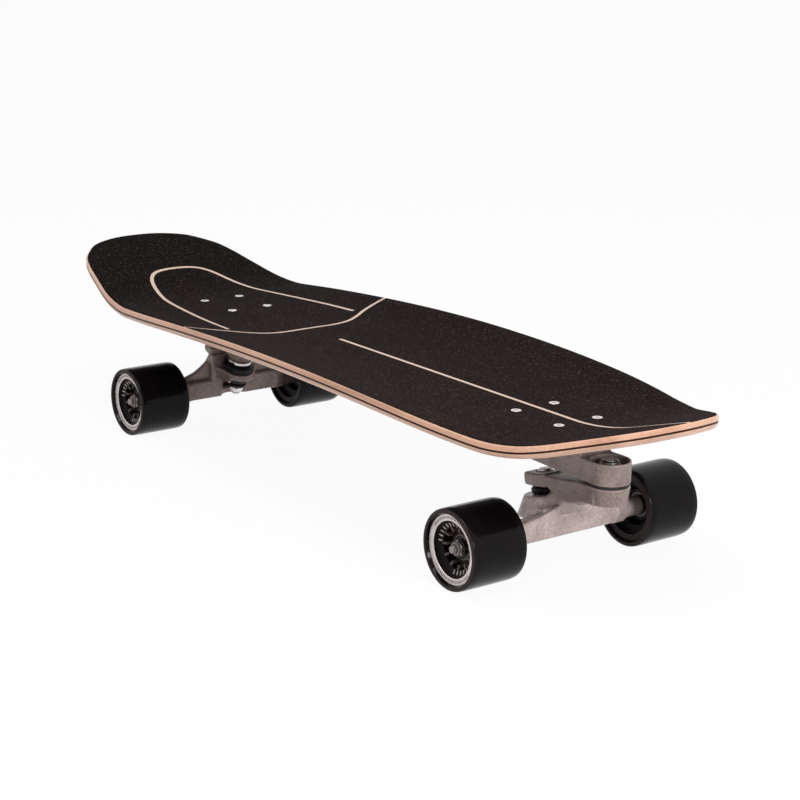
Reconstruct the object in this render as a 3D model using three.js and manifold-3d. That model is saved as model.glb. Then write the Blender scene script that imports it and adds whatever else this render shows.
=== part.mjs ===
// Surf skateboard: a kicked and concave maple deck, a swing-arm front truck, a fixed rear truck, four wheels.
// Millimetres, +X to the nose, +Y to the rider's left, +Z up. The origin is on the ground, under the middle
// of the deck's length.
import * as THREE from 'three';
import { mergeVertices } from 'three/addons/utils/BufferGeometryUtils.js';
import Module from 'manifold-3d';

const wasm = await Module();
wasm.setup();

// Clearances, and the overrun that lets a cutter pass its work
const seatGap = 0.25;
const overrun = 40;
const weld = 0.0001;
const glueLine = 0.05;

// Deck
const deckLength = 865;
const deckWidth = 245;
const flatWidth = 46;
const upperPlies = 4.7;
const darkPly = 1.6;
const lowerPlies = 4.2;
const gripThickness = 0.6;
const gripInset = 1.6;
const concaveRise = 14.5;
const concaveReach = 304;
const concaveCentre = 42.5;
const endConcave = 1.1;
const noseKickBack = 131;
const noseKickRadius = 230;
const noseKickSlope = 0.306;
const tailKickAhead = 170;
const tailKickRadius = 222;
const tailKickSlope = 0.277;
const sideCells = 2;
// Where the bent layers are folded across: shares of half the length, from tail to nose
const stationShares = [
  -1.05, -0.97, -0.9, -0.83, -0.75, -0.7, -0.65, -0.6, -0.45, -0.3, -0.14, 0.02, 0.18, 0.34, 0.5, 0.62,
  0.695, 0.735, 0.78, 0.82, 0.86, 0.95, 1.05,
];
// Half outline from nose to tail: shares of half the length, then of half the width
const outlineShares = [
  [1, 0], [0.995, 0.127], [0.977, 0.316], [0.94, 0.463], [0.903, 0.564], [0.866, 0.659], [0.829, 0.735],
  [0.755, 0.845], [0.692, 0.899], [0.623, 0.938], [0.554, 0.964], [0.415, 0.99], [0.24, 1], [0.068, 1],
  [-0.14, 0.986], [-0.348, 0.958], [-0.487, 0.93], [-0.625, 0.875], [-0.718, 0.829], [-0.81, 0.761],
  [-0.857, 0.723], [-0.903, 0.666], [-0.94, 0.572], [-0.972, 0.451], [-0.995, 0.224], [-1, 0],
];
const outlineSteps = 48;

// Stripes of bare wood between the pieces of grip
const stripeWidth = 4;
const crossStripeX = -86.5;
const crossStripeHalf = 38;
const crossBendX = -90;
const crossBendHalf = 52;
const crossFlankX = -98.5;
const crossFlankHalf = 66;
const crossRailX = -124;
const stringerTailX = -33.5;
const padMouthX = -115.5;
const padMouthHalf = 73;
const padWaistX = -172;
const padWaistHalf = 68.5;
const padEndX = -344.5;
const padEndHalf = 20;
const padCornerX = -333;
const padCornerHalf = 34.5;
const padFlankX = -290;
const padFlankHalf = 49;

// Truck mounting bolts: the pattern, then the bolt
const patternLength = 53.975;
const patternWidth = 41.275;
const noseOverhang = 152.5;
const tailOverhang = 211.5;
const boltRadius = 2.45;
const boltHeadRadius = 4.7;
const boltHeadDepth = 2.6;
const boltHoleGap = 0.3;
const lockNutFlat = 8;
const lockNutHeight = 5.5;
const boltTail = 1;
const boltSides = 8;

// Wheels and axles
const wheelRadius = 34.4;
const wheelWidth = 54.5;
const wheelSides = 26;
const wheelEdge = 4;
const faceRingRadius = 29;
const faceDish = 1.4;
const coreRadius = 23.3;
const coreRim = 1.4;
const coreSides = 14;
const coreWidth = 41;
const hubWall = 2.6;
const webThickness = 18;
const grooveWidth = 2.4;
const dishDrop = 4;
const rimStep = 1.2;
const wheelInset = 1.35;
const lipWidth = 2;
const bearingRadius = 11;
const bearingWidth = 7;
const spacerRadius = 5;
const spacerWidth = 10;
const speedWasherRadius = 5.6;
const speedWasher = 1;
const axleRadius = 4;
const axleEnd = 3;
const axleNutFlat = 13;
const axleNutHeight = 6.4;
const axleOffset = 14;

// Hangers, in each truck's own frame: x runs outward from the axle, z up from it
const truckHeight = 79.1;
const hangerLength = 165;
const beamRadius = 8.4;
const beamInner = 7.5;
const beamOuter = 5.5;
const beamChamfer = 3;
const ledgeHeight = 11;
const towerInner = -1;
const frontRingX = -20.5;
const frontRingZ = 15.5;
const frontRingSkirt = 7;
const frontRingFlare = 7.8;
const rearRingX = -17.2;
const rearRingZ = 16.5;
const rearRingSkirt = 1.5;
const rearRingFlare = -1.5;
const ringRadius = 20;
const ringThickness = 10;
const frontRingShoulder = 31;
const rearRingShoulder = 25.5;
const ringSides = 18;
const kingpinHoleRadius = 7;
const seatSlotRadius = 14;
const frontPivotRise = THREE.MathUtils.degToRad(22);
const rearPivotRise = THREE.MathUtils.degToRad(23);
const frontLean = THREE.MathUtils.degToRad(11);
const rearLean = THREE.MathUtils.degToRad(15);
const neckStart = 14;
const neckRadius = 12;
const neckTipRadius = 7.4;
const neckBlend = 2;
const pocketWall = 2.4;
const cheekFoot = 2;
const pivotReach = 39;
const pivotRadius = 6.2;
const pivotLength = 11;
const cupWall = 2.4;
const pivotSides = 12;

// Kingpin stack, measured along the kingpin from the middle of the ring
const kingpinRadius = 4.7;
const kingpinHeadFlat = 14;
const kingpinHeadHeight = 5.4;
const kingpinTail = 2.6;
const kingpinNutFlat = 13;
const kingpinNutHeight = 6.4;
const upperBushingRadius = 14.2;
const frontBushingHeight = 8.4;
const rearBushingHeight = 11;
const lowerBushingRadius = 9.4;
const lowerBushingHeight = 6.5;
const upperCupRadius = 12.8;
const lowerCupRadius = 9.2;
const cupPlate = 1.4;
const cupRim = 1.8;
const cupRimWall = 1.1;
const seatThickness = 5;
const stackSides = 14;

// Base plates
const plateThickness = 6.5;
const plateOverhang = 16;
const plateWidth = 56;
const plateCorner = 8;
const headRecess = 1.2;

// Front base, swing arm and their pivot column
const swingX = 52.5;
const headRadius = 17.2;
const baseDrop = 29.5;
const rimDrop = 11;
const rimWall = 2.2;
const baseTailHalf = 12.8;
const baseTailX = -38.5;
const headWall = 3.9;
const baseCavity = 6;
const baseFloor = 4.5;
const washerWidth = 3;
const washerThickness = 0.9;
const armDrop = 15.4;
const armFootRadius = 15;
const armCavity = 6.6;
const armFloor = 4;
const armHalf = 17;
const armTailHalf = 12.6;
const armTailReach = 14;
const armCornerReach = 2;
const armBlock = 8.4;
const armLip = 2.8;
const housingWall = 1.4;
const pivotBoltRadius = 5;
const pivotBoltFlat = 17;
const pivotBoltHead = 4.4;
const pivotNutHeight = 7.4;
const sleeveWall = 2;
const springWire = 2.2;
const springTurns = 4.5;
const springStepsPerTurn = 8;
const springSides = 5;

// The arm's lower side edge, from its tail to its head: shares of that length, then of the arm's drop
const bellyShares = [
  [0, 0.61], [0.12, 0.545], [0.215, 0.35], [0.32, 0.156], [0.43, 0.09], [0.585, 0.156], [0.77, 0.415],
  [0.92, 0.5], [1, 0.5],
];

// Rear base
const bossFoot = 11.4;
const bossRadius = 15.5;
const bossTaper = 6;
const webHalf = 9;
const webDrop = 20;

// Values worked out from the sizes above
const frontPatternX = deckLength / 2 - noseOverhang;
const rearPatternX = tailOverhang - deckLength / 2;
const frontAxleX = frontPatternX + axleOffset;
const rearAxleX = rearPatternX - axleOffset;
const noseKickStart = deckLength / 2 - noseKickBack;
const tailKickStart = tailKickAhead - deckLength / 2;
const axleHeight = wheelRadius * Math.cos(Math.PI / wheelSides);
const deckBottom = axleHeight + truckHeight;
const woodTop = lowerPlies + darkPly + upperPlies;
const bearingFit = seatGap / 2;
const wheelCentreY = hangerLength / 2 + speedWasher + bearingWidth + spacerWidth / 2;
const plateFloor = truckHeight - plateThickness;
const ringTop = ringThickness / 2;
const lowerBushingTop = -ringTop - seatGap;
const lowerCupTop = lowerBushingTop - lowerBushingHeight - seatGap;
const kingpinNutTop = lowerCupTop - cupPlate - seatGap;
const kingpinEnd = kingpinNutTop - kingpinNutHeight - kingpinTail;
const baseBottom = truckHeight - baseDrop;
const armTop = baseBottom - 2 * washerThickness - 3 * seatGap;
const armBottom = armTop - armDrop;
const housingRadius = pivotRadius + seatGap + cupWall + seatGap + housingWall;

// One truck's steering: the ring's place, the lean of its kingpin, the rise of its pivot and its ring's foot
function steeringOf(place, lean, rise, foot, bushing) {
  const seat = ringTop + bushing + cupPlate + 3 * seatGap;
  const [skirt, flare, shoulder] = foot;
  return { x: place[0], z: place[1], lean, rise, skirt, flare, shoulder, bushing, seat };
}

const frontPlace = [frontRingX, frontRingZ];
const rearPlace = [rearRingX, rearRingZ];
const frontFoot = [frontRingSkirt, frontRingFlare, frontRingShoulder];
const rearFoot = [rearRingSkirt, rearRingFlare, rearRingShoulder];
const frontSteering = steeringOf(frontPlace, frontLean, frontPivotRise, frontFoot, frontBushingHeight);
const rearSteering = steeringOf(rearPlace, rearLean, rearPivotRise, rearFoot, rearBushingHeight);

const colours = {
  maple: { color: 0xeecfae, roughness: 0.55, metalness: 0 },
  darkMaple: { color: 0x50301c, roughness: 0.6, metalness: 0 },
  grip: { color: 0x17151a, roughness: 0.95, metalness: 0 },
  castAluminium: { color: 0xc9c4c0, roughness: 0.5, metalness: 0.9 },
  zinc: { color: 0xd6d6d6, roughness: 0.3, metalness: 1 },
  bearingSteel: { color: 0xb4b4b8, roughness: 0.25, metalness: 1 },
  urethane: { color: 0x101013, roughness: 0.35, metalness: 0 },
  corePlastic: { color: 0x1d1b1d, roughness: 0.5, metalness: 0 },
  bushing: { color: 0x191619, roughness: 0.5, metalness: 0 },
  spring: { color: 0x8f9094, roughness: 0.35, metalness: 1 },
};

// A closed solid from a geometry, turned to face out
function solid(geometry) {
  const bare = new THREE.BufferGeometry();
  bare.setAttribute('position', geometry.getAttribute('position').clone());
  bare.setIndex(geometry.getIndex());
  const merged = mergeVertices(bare, weld);
  const index = Array.from(merged.getIndex().array);
  const points = merged.getAttribute('position');
  const triangles = [];
  let volume = 0;
  for (let i = 0; i < index.length; i += 3) {
    const [a, b, c] = index.slice(i, i + 3);
    if (a === b || b === c || c === a) continue;
    triangles.push(a, b, c);
    const [p, q, r] = [a, b, c].map((v) => new THREE.Vector3().fromBufferAttribute(points, v));
    volume += p.dot(q.cross(r));
  }
  if (volume < 0) triangles.reverse();
  return new wasm.Manifold(new wasm.Mesh({
    numProp: 3,
    vertProperties: new Float32Array(points.array),
    triVerts: new Uint32Array(triangles),
  }));
}

// The three.js geometry of a solid
function geometryOf(body) {
  const mesh = body.getMesh();
  const geometry = new THREE.BufferGeometry();
  geometry.setAttribute('position', new THREE.BufferAttribute(mesh.vertProperties, 3));
  geometry.setIndex(new THREE.BufferAttribute(mesh.triVerts, 1));
  geometry.computeVertexNormals();
  return geometry;
}

function piece(name, body, finish) {
  const mesh = new THREE.Mesh(geometryOf(body), new THREE.MeshStandardMaterial(finish));
  mesh.name = name;
  return mesh;
}

// Revolves [radius, height] points about z; a profile off the axis is closed on itself
function turned(profile, sides) {
  const points = profile.map(([r, z]) => new THREE.Vector2(r, z));
  const onAxis = profile[0][0] === 0;
  if (!onAxis) points.push(points[0].clone());
  const geometry = new THREE.LatheGeometry(points, sides);
  geometry.rotateX(Math.PI / 2);
  return geometry;
}

function disc(radius, low, high, sides) {
  return turned([[0, low], [radius, low], [radius, high], [0, high]], sides);
}

function tube(inner, outer, low, high, sides) {
  return turned([[inner, low], [outer, low], [outer, high], [inner, high]], sides);
}

// A six-sided prism given its width across flats
function hexagon(flat, low, high) {
  return disc(flat / Math.sqrt(3), low, high, 6);
}

function outlineOf(points) {
  return new THREE.Shape(points.map(([x, y]) => new THREE.Vector2(x, y)));
}

// A plan outline raised from low to high
function plan(shape, low, high) {
  const geometry = new THREE.ExtrudeGeometry(shape, { depth: high - low, bevelEnabled: false });
  geometry.translate(0, 0, low);
  return geometry;
}

// A side profile in x and z, carried to both sides of the middle plane
function flank(shape, half) {
  const geometry = new THREE.ExtrudeGeometry(shape, { depth: 2 * half, bevelEnabled: false });
  geometry.rotateX(Math.PI / 2);
  geometry.translate(0, half, 0);
  return geometry;
}

// A front silhouette in y and z, carried along x
function silhouette(shape, back, front) {
  const geometry = new THREE.ExtrudeGeometry(shape, { depth: front - back, bevelEnabled: false });
  const turn = new THREE.Matrix4().makeBasis(
    new THREE.Vector3(0, 1, 0),
    new THREE.Vector3(0, 0, 1),
    new THREE.Vector3(1, 0, 0),
  );
  geometry.applyMatrix4(turn);
  geometry.translate(back, 0, 0);
  return geometry;
}

function block(xs, ys, zs) {
  const geometry = new THREE.BoxGeometry(xs[1] - xs[0], ys[1] - ys[0], zs[1] - zs[0]);
  geometry.translate((xs[0] + xs[1]) / 2, (ys[0] + ys[1]) / 2, (zs[0] + zs[1]) / 2);
  return geometry;
}

// Moves a geometry from the kingpin's frame, with z up the kingpin, into the truck's
function alongKingpin(geometry, steering) {
  geometry.rotateY(-steering.lean);
  geometry.translate(steering.x, 0, steering.z);
  return geometry;
}

// Moves a turned geometry from its own z to the pivot axis, which starts in the ring's middle
function alongPivot(geometry, steering) {
  geometry.rotateY(Math.PI / 2 - steering.rise);
  geometry.translate(steering.x, 0, steering.z);
  return geometry;
}

// Turns a geometry from its own z to the axle's line
function alongAxle(geometry) {
  geometry.rotateX(-Math.PI / 2);
  return geometry;
}

// Height of the deck's shape above its flat middle
function kick(distance, radius, slope) {
  const bend = Math.min(Math.max(distance, 0), radius * slope);
  return bend * bend / (2 * radius) + Math.max(distance - radius * slope, 0) * slope;
}

function deckShape(x, y) {
  const along = Math.min(Math.abs(x - concaveCentre) / concaveReach, 1);
  const rail = Math.max(Math.abs(y) - flatWidth / 2, 0) / (deckWidth / 2 - flatWidth / 2);
  const fade = concaveRise * (1 - along * along) + endConcave * along * along;
  const nose = kick(x - noseKickStart, noseKickRadius, noseKickSlope);
  const tail = kick(tailKickStart - x, tailKickRadius, tailKickSlope);
  return nose + tail + fade * rail * rail;
}

// All that lies above a bent face at a height over the deck's underside
function above(height) {
  const acrossCells = 2 * sideCells + 1;
  const lengthCells = stationShares.length - 1;
  const geometry = new THREE.BoxGeometry(1, 1, 1, lengthCells, acrossCells, 1);
  const points = geometry.getAttribute('position');
  const railHalf = deckWidth / 2 + overrun / 2;
  for (let i = 0; i < points.count; i += 1) {
    const lane = Math.round((points.getY(i) + 0.5) * acrossCells) - acrossCells / 2;
    const step = (Math.abs(lane) - 0.5) / sideCells;
    const y = Math.sign(lane) * (flatWidth / 2 + step * (railHalf - flatWidth / 2));
    const x = stationShares[Math.round((points.getX(i) + 0.5) * lengthCells)] * deckLength / 2;
    const face = deckBottom + height + deckShape(x, y);
    points.setXYZ(i, x, y, points.getZ(i) > 0 ? deckBottom + 3 * overrun : face);
  }
  return solid(geometry);
}

// One bent layer between two heights, a glue line over the last, cut to an outline and drilled
function bentLayer(low, high, edge) {
  return drilled(above(low + glueLine).subtract(above(high)).intersect(edge));
}

// The deck's outline, drawn in from its edge by an inset
function deckOutline(inset) {
  const half = outlineShares.map(([along, across]) => [along * deckLength / 2, across * deckWidth / 2]);
  const mirrored = half.slice(1, -1).reverse().map(([x, y]) => [x, -y]);
  const knots = [...half, ...mirrored].map(([x, y]) => new THREE.Vector3(x, y, 0));
  const curve = new THREE.CatmullRomCurve3(knots, true, 'centripetal');
  const points = [];
  for (let i = 0; i < outlineSteps; i += 1) {
    const at = curve.getPointAt(i / outlineSteps);
    const along = curve.getTangentAt(i / outlineSteps);
    points.push([at.x - along.y * inset, at.y + along.x * inset]);
  }
  return outlineOf(points);
}

// A band of even width along a line of points
function band(points, width) {
  const left = [];
  const right = [];
  points.forEach(([x, y], i) => {
    const [ax, ay] = points[Math.max(i - 1, 0)];
    const [bx, by] = points[Math.min(i + 1, points.length - 1)];
    const reach = Math.hypot(bx - ax, by - ay);
    const nx = (ay - by) / reach * width / 2;
    const ny = (bx - ax) / reach * width / 2;
    left.push([x + nx, y + ny]);
    right.unshift([x - nx, y - ny]);
  });
  return outlineOf([...left, ...right]);
}

// Both sides of a half line, from the rider's right to the left
function bothSides(half) {
  const right = half.filter(([, y]) => y > 0).map(([x, y]) => [x, -y]).reverse();
  return [...right, ...half];
}

function crossLine() {
  const railHalf = deckWidth / 2;
  const slope = (crossRailX - crossFlankX) / (railHalf - crossFlankHalf);
  return bothSides([
    [crossStripeX, crossStripeHalf], [crossBendX, crossBendHalf], [crossFlankX, crossFlankHalf],
    [crossRailX + slope * overrun / 2, railHalf + overrun / 2],
  ]);
}

function padLine() {
  const half = [
    [padEndX, padEndHalf], [padCornerX, padCornerHalf], [padFlankX, padFlankHalf],
    [padWaistX, padWaistHalf], [padMouthX, padMouthHalf],
  ];
  const knots = bothSides(half).map(([x, y]) => new THREE.Vector3(x, y, 0));
  const curve = new THREE.CatmullRomCurve3(knots, false, 'centripetal');
  return curve.getPoints(3 * knots.length).map((p) => [p.x, p.y]);
}

function patternPoints(centreX) {
  const points = [];
  for (const sx of [-1, 1]) {
    for (const sy of [-1, 1]) points.push([centreX + sx * patternLength / 2, sy * patternWidth / 2]);
  }
  return points;
}

const boltPlaces = [...patternPoints(frontPatternX), ...patternPoints(rearPatternX)];

function boltTop([x, y]) {
  return deckBottom + woodTop + gripThickness + deckShape(x, y);
}

// Takes the bolt holes, with their countersinks, out of a layer
function drilled(body) {
  let result = body;
  const holeRadius = boltRadius + boltHoleGap;
  const sinkRadius = boltHeadRadius + boltHoleGap;
  for (const place of boltPlaces) {
    const top = boltTop(place);
    const cutter = turned([
      [0, deckBottom - overrun], [holeRadius, deckBottom - overrun],
      [holeRadius, top - boltHeadDepth - seatGap], [sinkRadius, top], [sinkRadius, top + overrun],
      [0, top + overrun],
    ], boltSides);
    cutter.translate(place[0], place[1], 0);
    result = result.subtract(solid(cutter));
  }
  return result;
}

function deckPieces() {
  const heights = [0, lowerPlies, lowerPlies + darkPly, woodTop];
  const names = ['deck_lower_plies', 'deck_dark_ply', 'deck_upper_plies'];
  const finishes = [colours.maple, colours.darkMaple, colours.maple];
  const edge = solid(plan(deckOutline(0), 0, deckBottom + 2 * overrun));
  return names.map((name, i) => {
    return piece(name, bentLayer(heights[i], heights[i + 1], edge), finishes[i]);
  });
}

function gripPieces() {
  const edge = solid(plan(deckOutline(gripInset), 0, deckBottom + 2 * overrun));
  const low = deckBottom;
  const high = deckBottom + 2 * overrun;
  const cross = crossLine();
  const nose = deckLength / 2 + overrun;
  const ahead = solid(plan(outlineOf([...cross, [nose, cross.at(-1)[1]], [nose, cross[0][1]]]), low, high));
  const stringer = [[stringerTailX, 0], [nose, 0]];
  const stripes = [cross, padLine(), stringer].map((line) => solid(plan(band(line, stripeWidth), low, high)));
  let sheet = bentLayer(woodTop, woodTop + gripThickness, edge);
  for (const stripe of stripes) sheet = sheet.subtract(stripe);
  return [
    piece('grip_front', sheet.intersect(ahead), colours.grip),
    piece('grip_rear', sheet.subtract(ahead), colours.grip),
  ];
}

// A countersunk bolt with its lock nut under the plate
function deckBolts() {
  const plateUnder = deckBottom - plateThickness;
  const nutTop = plateUnder - seatGap;
  return boltPlaces.map((place, i) => {
    const top = boltTop(place);
    const end = nutTop - lockNutHeight - boltTail;
    const shank = turned([
      [0, end], [boltRadius, end], [boltRadius, top - boltHeadDepth], [boltHeadRadius, top], [0, top],
    ], boltSides);
    const nut = hexagon(lockNutFlat, nutTop - lockNutHeight, nutTop);
    const mesh = piece(`deck_bolt_${i + 1}`, solid(shank).add(solid(nut)), colours.zinc);
    mesh.position.set(place[0], place[1], 0);
    return mesh;
  });
}

// Wheel parts, with z outward along the axle from the wheel's middle
function tyreProfile() {
  const half = wheelWidth / 2;
  const bore = coreRadius + seatGap;
  const outer = [
    [faceRingRadius, half - faceDish], [wheelRadius - wheelEdge, half], [wheelRadius, half - wheelEdge],
  ];
  const inner = outer.map(([r, z]) => [r, -z]);
  return [[bore, -half + wheelEdge], ...inner, ...outer.reverse(), [bore, half - wheelEdge]];
}

function coreProfile() {
  const bore = bearingRadius + bearingFit;
  const hub = bore + hubWall;
  const rim = coreRadius - coreRim;
  const half = coreWidth / 2;
  const hubHalf = spacerWidth / 2 + bearingWidth;
  const seat = spacerWidth / 2 - seatGap;
  const web = webThickness / 2;
  const face = [
    [coreRadius, half], [rim, half], [rim, half - rimStep], [hub + grooveWidth, half - dishDrop],
    [hub + grooveWidth, web], [hub, web], [hub, hubHalf], [bore, hubHalf], [bore, seat],
    [bore - lipWidth, seat],
  ];
  const back = face.map(([r, z]) => [r, -z]).reverse();
  return [...back, ...face];
}

function wheelPieces(name, side) {
  const inner = -spacerWidth / 2 - bearingWidth;
  const outer = spacerWidth / 2;
  const bore = axleRadius + bearingFit;
  const bearing = (low) => tube(bore, bearingRadius, low, low + bearingWidth - seatGap, coreSides);
  const tyre = turned(tyreProfile(), wheelSides);
  tyre.rotateZ(Math.PI / wheelSides);
  const parts = [
    piece(`${name}_tyre`, solid(tyre), colours.urethane),
    piece(`${name}_core`, solid(turned(coreProfile(), coreSides)), colours.corePlastic),
    piece(`${name}_bearing_inner`, solid(bearing(inner + seatGap)), colours.bearingSteel),
    piece(`${name}_bearing_outer`, solid(bearing(outer)), colours.bearingSteel),
  ];
  const wheel = new THREE.Group();
  parts[0].position.z = -wheelInset;
  wheel.add(...parts);
  wheel.rotation.x = side > 0 ? -Math.PI / 2 : Math.PI / 2;
  wheel.position.y = side * wheelCentreY;
  return wheel;
}

// A locking nut with the outer speed washer, seated on the outer bearing
function axleNut(name, side) {
  const start = wheelCentreY + spacerWidth / 2 + bearingWidth;
  const washer = disc(speedWasherRadius, start, start + speedWasher, coreSides);
  const nut = hexagon(axleNutFlat, start + speedWasher / 2, start + speedWasher + axleNutHeight);
  const bore = disc(axleRadius + bearingFit, start - overrun, start + overrun, coreSides);
  const body = solid(washer).add(solid(nut)).subtract(solid(bore));
  const mesh = piece(name, body, colours.zinc);
  mesh.rotation.x = side > 0 ? -Math.PI / 2 : Math.PI / 2;
  return mesh;
}

// The axle, with its bearing spacers and inner speed washers as collars
function axle(name) {
  const hanger = hangerLength / 2 + seatGap / 2;
  const bearingIn = hangerLength / 2 + speedWasher;
  const spacerIn = wheelCentreY - spacerWidth / 2 + seatGap / 2;
  const spacerOut = wheelCentreY + spacerWidth / 2 - seatGap / 2;
  const end = wheelCentreY + spacerWidth / 2 + bearingWidth + speedWasher + axleNutHeight + axleEnd;
  const half = [
    [axleRadius, hanger], [speedWasherRadius, hanger], [speedWasherRadius, bearingIn],
    [axleRadius, bearingIn], [axleRadius, spacerIn], [spacerRadius, spacerIn], [spacerRadius, spacerOut],
    [axleRadius, spacerOut], [axleRadius, end], [0, end],
  ];
  const mirrored = half.map(([r, z]) => [r, -z]).reverse();
  return piece(name, solid(alongAxle(turned([...mirrored, ...half], coreSides))), colours.zinc);
}

// Silhouettes of the hangers over the axle, from the wheel to the middle: shares of half the hanger's
// length, then of the ring's radius
const frontWingShares = [[0.75, 0.4], [0.6, 0.43], [0.376, 0.58], [0.23, 0.74], [0.12, 0.9]];
const rearWingShares = [
  [0.75, 0.45], [0.64, 0.74], [0.5, 0.93], [0.41, 1.15], [0.32, 1.44], [0.27, 1.76], [0.235, 2.08],
  [0.21, 2.14],
];

function wings(shares) {
  const rise = shares.map(([across, up]) => [across * hangerLength / 2, up * ringRadius]);
  const left = rise.map(([y, z]) => [-y, z]);
  const right = [...rise].reverse();
  const foot = rise[0][0];
  return outlineOf([[-foot, -beamRadius], ...left, ...right, [foot, -beamRadius]]);
}

// The ring about the kingpin and the shoulders that tie it to the beam
function ringCasting(steering) {
  const low = -ringTop - steering.skirt;
  const widening = Math.max(steering.flare, 0) / (ringTop - low);
  const ring = turned([
    [0, low], [ringRadius + steering.flare, low], [ringRadius + widening * ringThickness, -ringTop],
    [ringRadius, ringTop], [0, ringTop],
  ], ringSides);
  const shoulder = outlineOf([
    [0, ringRadius], [-steering.x, steering.shoulder], [-steering.x, -steering.shoulder], [0, -ringRadius],
  ]);
  const bridge = plan(shoulder, low, ringTop);
  return solid(alongKingpin(ring, steering)).add(solid(alongKingpin(bridge, steering)));
}

// The neck and the round nose that turns in the pivot cup
function pivotNose(steering) {
  const tip = pivotReach + pivotLength;
  const nose = turned([
    [0, neckStart], [neckRadius, neckStart], [neckTipRadius, pivotReach - neckBlend],
    [pivotRadius, pivotReach], [pivotRadius, tip - cupWall], [pivotRadius - cupWall, tip], [0, tip],
  ], pivotSides);
  return solid(alongPivot(nose, steering));
}

// The casting between the wheels: beam, wings, ring, neck and pivot nose
function hanger(name, steering, wingShares) {
  const top = wingShares.at(-1)[1] * ringRadius;
  const slab = outlineOf([
    [-beamInner, -beamRadius + beamChamfer / 2], [-beamInner / 2, -beamRadius],
    [beamOuter - beamChamfer, -beamRadius], [beamOuter, -beamRadius + beamChamfer], [beamOuter, top],
    [towerInner, top], [towerInner, ledgeHeight], [-beamInner, ledgeHeight - beamChamfer / 2],
  ]);
  const reach = hangerLength / 2;
  const blade = wingShares[0][0] * reach;
  let body = solid(flank(slab, reach)).intersect(solid(silhouette(wings(wingShares), -overrun, overrun)));
  for (const side of [1, -1]) {
    const ends = [side * reach, side * (blade - beamRadius)].sort((low, high) => low - high);
    body = body.add(solid(alongAxle(disc(beamRadius, ends[0], ends[1], ringSides))));
  }
  body = body.add(ringCasting(steering)).add(pivotNose(steering));
  // Wings that rise past the ring carry cheeks, which wall in the bushing's pocket
  if (top > cheekFoot + ringRadius) {
    const cheeks = block([-beamInner, 0], [-rearRingShoulder, rearRingShoulder], [cheekFoot, top]);
    body = body.add(solid(cheeks));
  }
  const upTo = steering.seat - cupPlate;
  const pocketRadius = ringRadius - pocketWall;
  const cuts = [
    disc(pocketRadius, ringTop, upTo, ringSides),
    block([-overrun, pocketRadius], [-overrun, overrun], [upTo, 2 * overrun]),
    disc(kingpinHoleRadius, -overrun, overrun, ringSides),
    disc(seatSlotRadius, -overrun, -ringTop, ringSides),
  ];
  for (const cut of cuts) body = body.subtract(solid(alongKingpin(cut, steering)));
  body = body.subtract(solid(alongAxle(disc(axleRadius + seatGap, -2 * reach, 2 * reach, coreSides))));
  return piece(name, body, colours.castAluminium);
}

// Bushings, cupped washers, kingpin and nut about the ring
function kingpinStack(name, steering) {
  const hole = kingpinRadius + seatGap;
  const lowUpper = ringTop + seatGap;
  const highUpper = lowUpper + steering.bushing;
  const headSeat = steering.seat + seatThickness;
  const shoulderUpper = upperCupRadius - cupRimWall - seatGap;
  const cupLow = highUpper + seatGap;
  const upperBushing = turned([
    [hole, lowUpper], [upperBushingRadius - cupRimWall, lowUpper],
    [upperBushingRadius, (lowUpper + highUpper) / 2], [shoulderUpper, highUpper - cupRim - seatGap],
    [shoulderUpper, highUpper], [hole, highUpper],
  ], stackSides);
  const upperCup = turned([
    [hole, cupLow], [upperCupRadius - cupRimWall, cupLow],
    [upperCupRadius - cupRimWall, cupLow - cupRim], [upperCupRadius, cupLow - cupRim],
    [upperCupRadius, cupLow + cupPlate], [hole, cupLow + cupPlate],
  ], stackSides);
  const lowLower = lowerBushingTop - lowerBushingHeight;
  const shoulderLower = lowerCupRadius - cupRimWall - seatGap;
  const lowerBushing = turned([
    [hole, lowLower], [shoulderLower, lowLower], [shoulderLower, lowLower + cupRim],
    [lowerBushingRadius, lowerBushingTop], [hole, lowerBushingTop],
  ], stackSides);
  const lowerRimTop = lowerCupTop + cupRim - seatGap;
  const lowerCup = turned([
    [hole, lowerCupTop - cupPlate], [lowerCupRadius, lowerCupTop - cupPlate],
    [lowerCupRadius, lowerRimTop], [lowerCupRadius - cupRimWall, lowerRimTop],
    [lowerCupRadius - cupRimWall, lowerCupTop], [hole, lowerCupTop],
  ], stackSides);
  const nut = solid(hexagon(kingpinNutFlat, kingpinNutTop - kingpinNutHeight, kingpinNutTop))
    .subtract(solid(disc(kingpinRadius + bearingFit, -2 * overrun, 0, stackSides)));
  const pin = solid(disc(kingpinRadius, kingpinEnd, headSeat + kingpinHeadHeight, stackSides))
    .add(solid(hexagon(kingpinHeadFlat, headSeat + seatGap, headSeat + kingpinHeadHeight)));
  const pieces = [
    piece(`${name}_bushing_upper`, solid(upperBushing), colours.bushing),
    piece(`${name}_cup_washer_upper`, solid(upperCup), colours.zinc),
    piece(`${name}_bushing_lower`, solid(lowerBushing), colours.bushing),
    piece(`${name}_cup_washer_lower`, solid(lowerCup), colours.zinc),
    piece(`${name}_kingpin_nut`, nut, colours.zinc),
    piece(`${name}_kingpin`, pin, colours.zinc),
  ];
  const stack = new THREE.Group();
  stack.add(...pieces);
  stack.rotation.y = -steering.lean;
  stack.position.set(steering.x, 0, steering.z);
  return stack;
}

// The plastic cup that the hanger's nose turns in
function pivotCup(name, steering) {
  const inner = pivotRadius + seatGap;
  const outer = inner + cupWall;
  const mouth = pivotReach + seatGap;
  const floor = pivotReach + pivotLength + seatGap;
  const cup = turned([
    [0, floor], [inner, floor], [inner, mouth], [outer, mouth], [outer, floor + cupWall],
    [0, floor + cupWall],
  ], pivotSides);
  return piece(name, solid(alongPivot(cup, steering)), colours.bushing);
}

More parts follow.
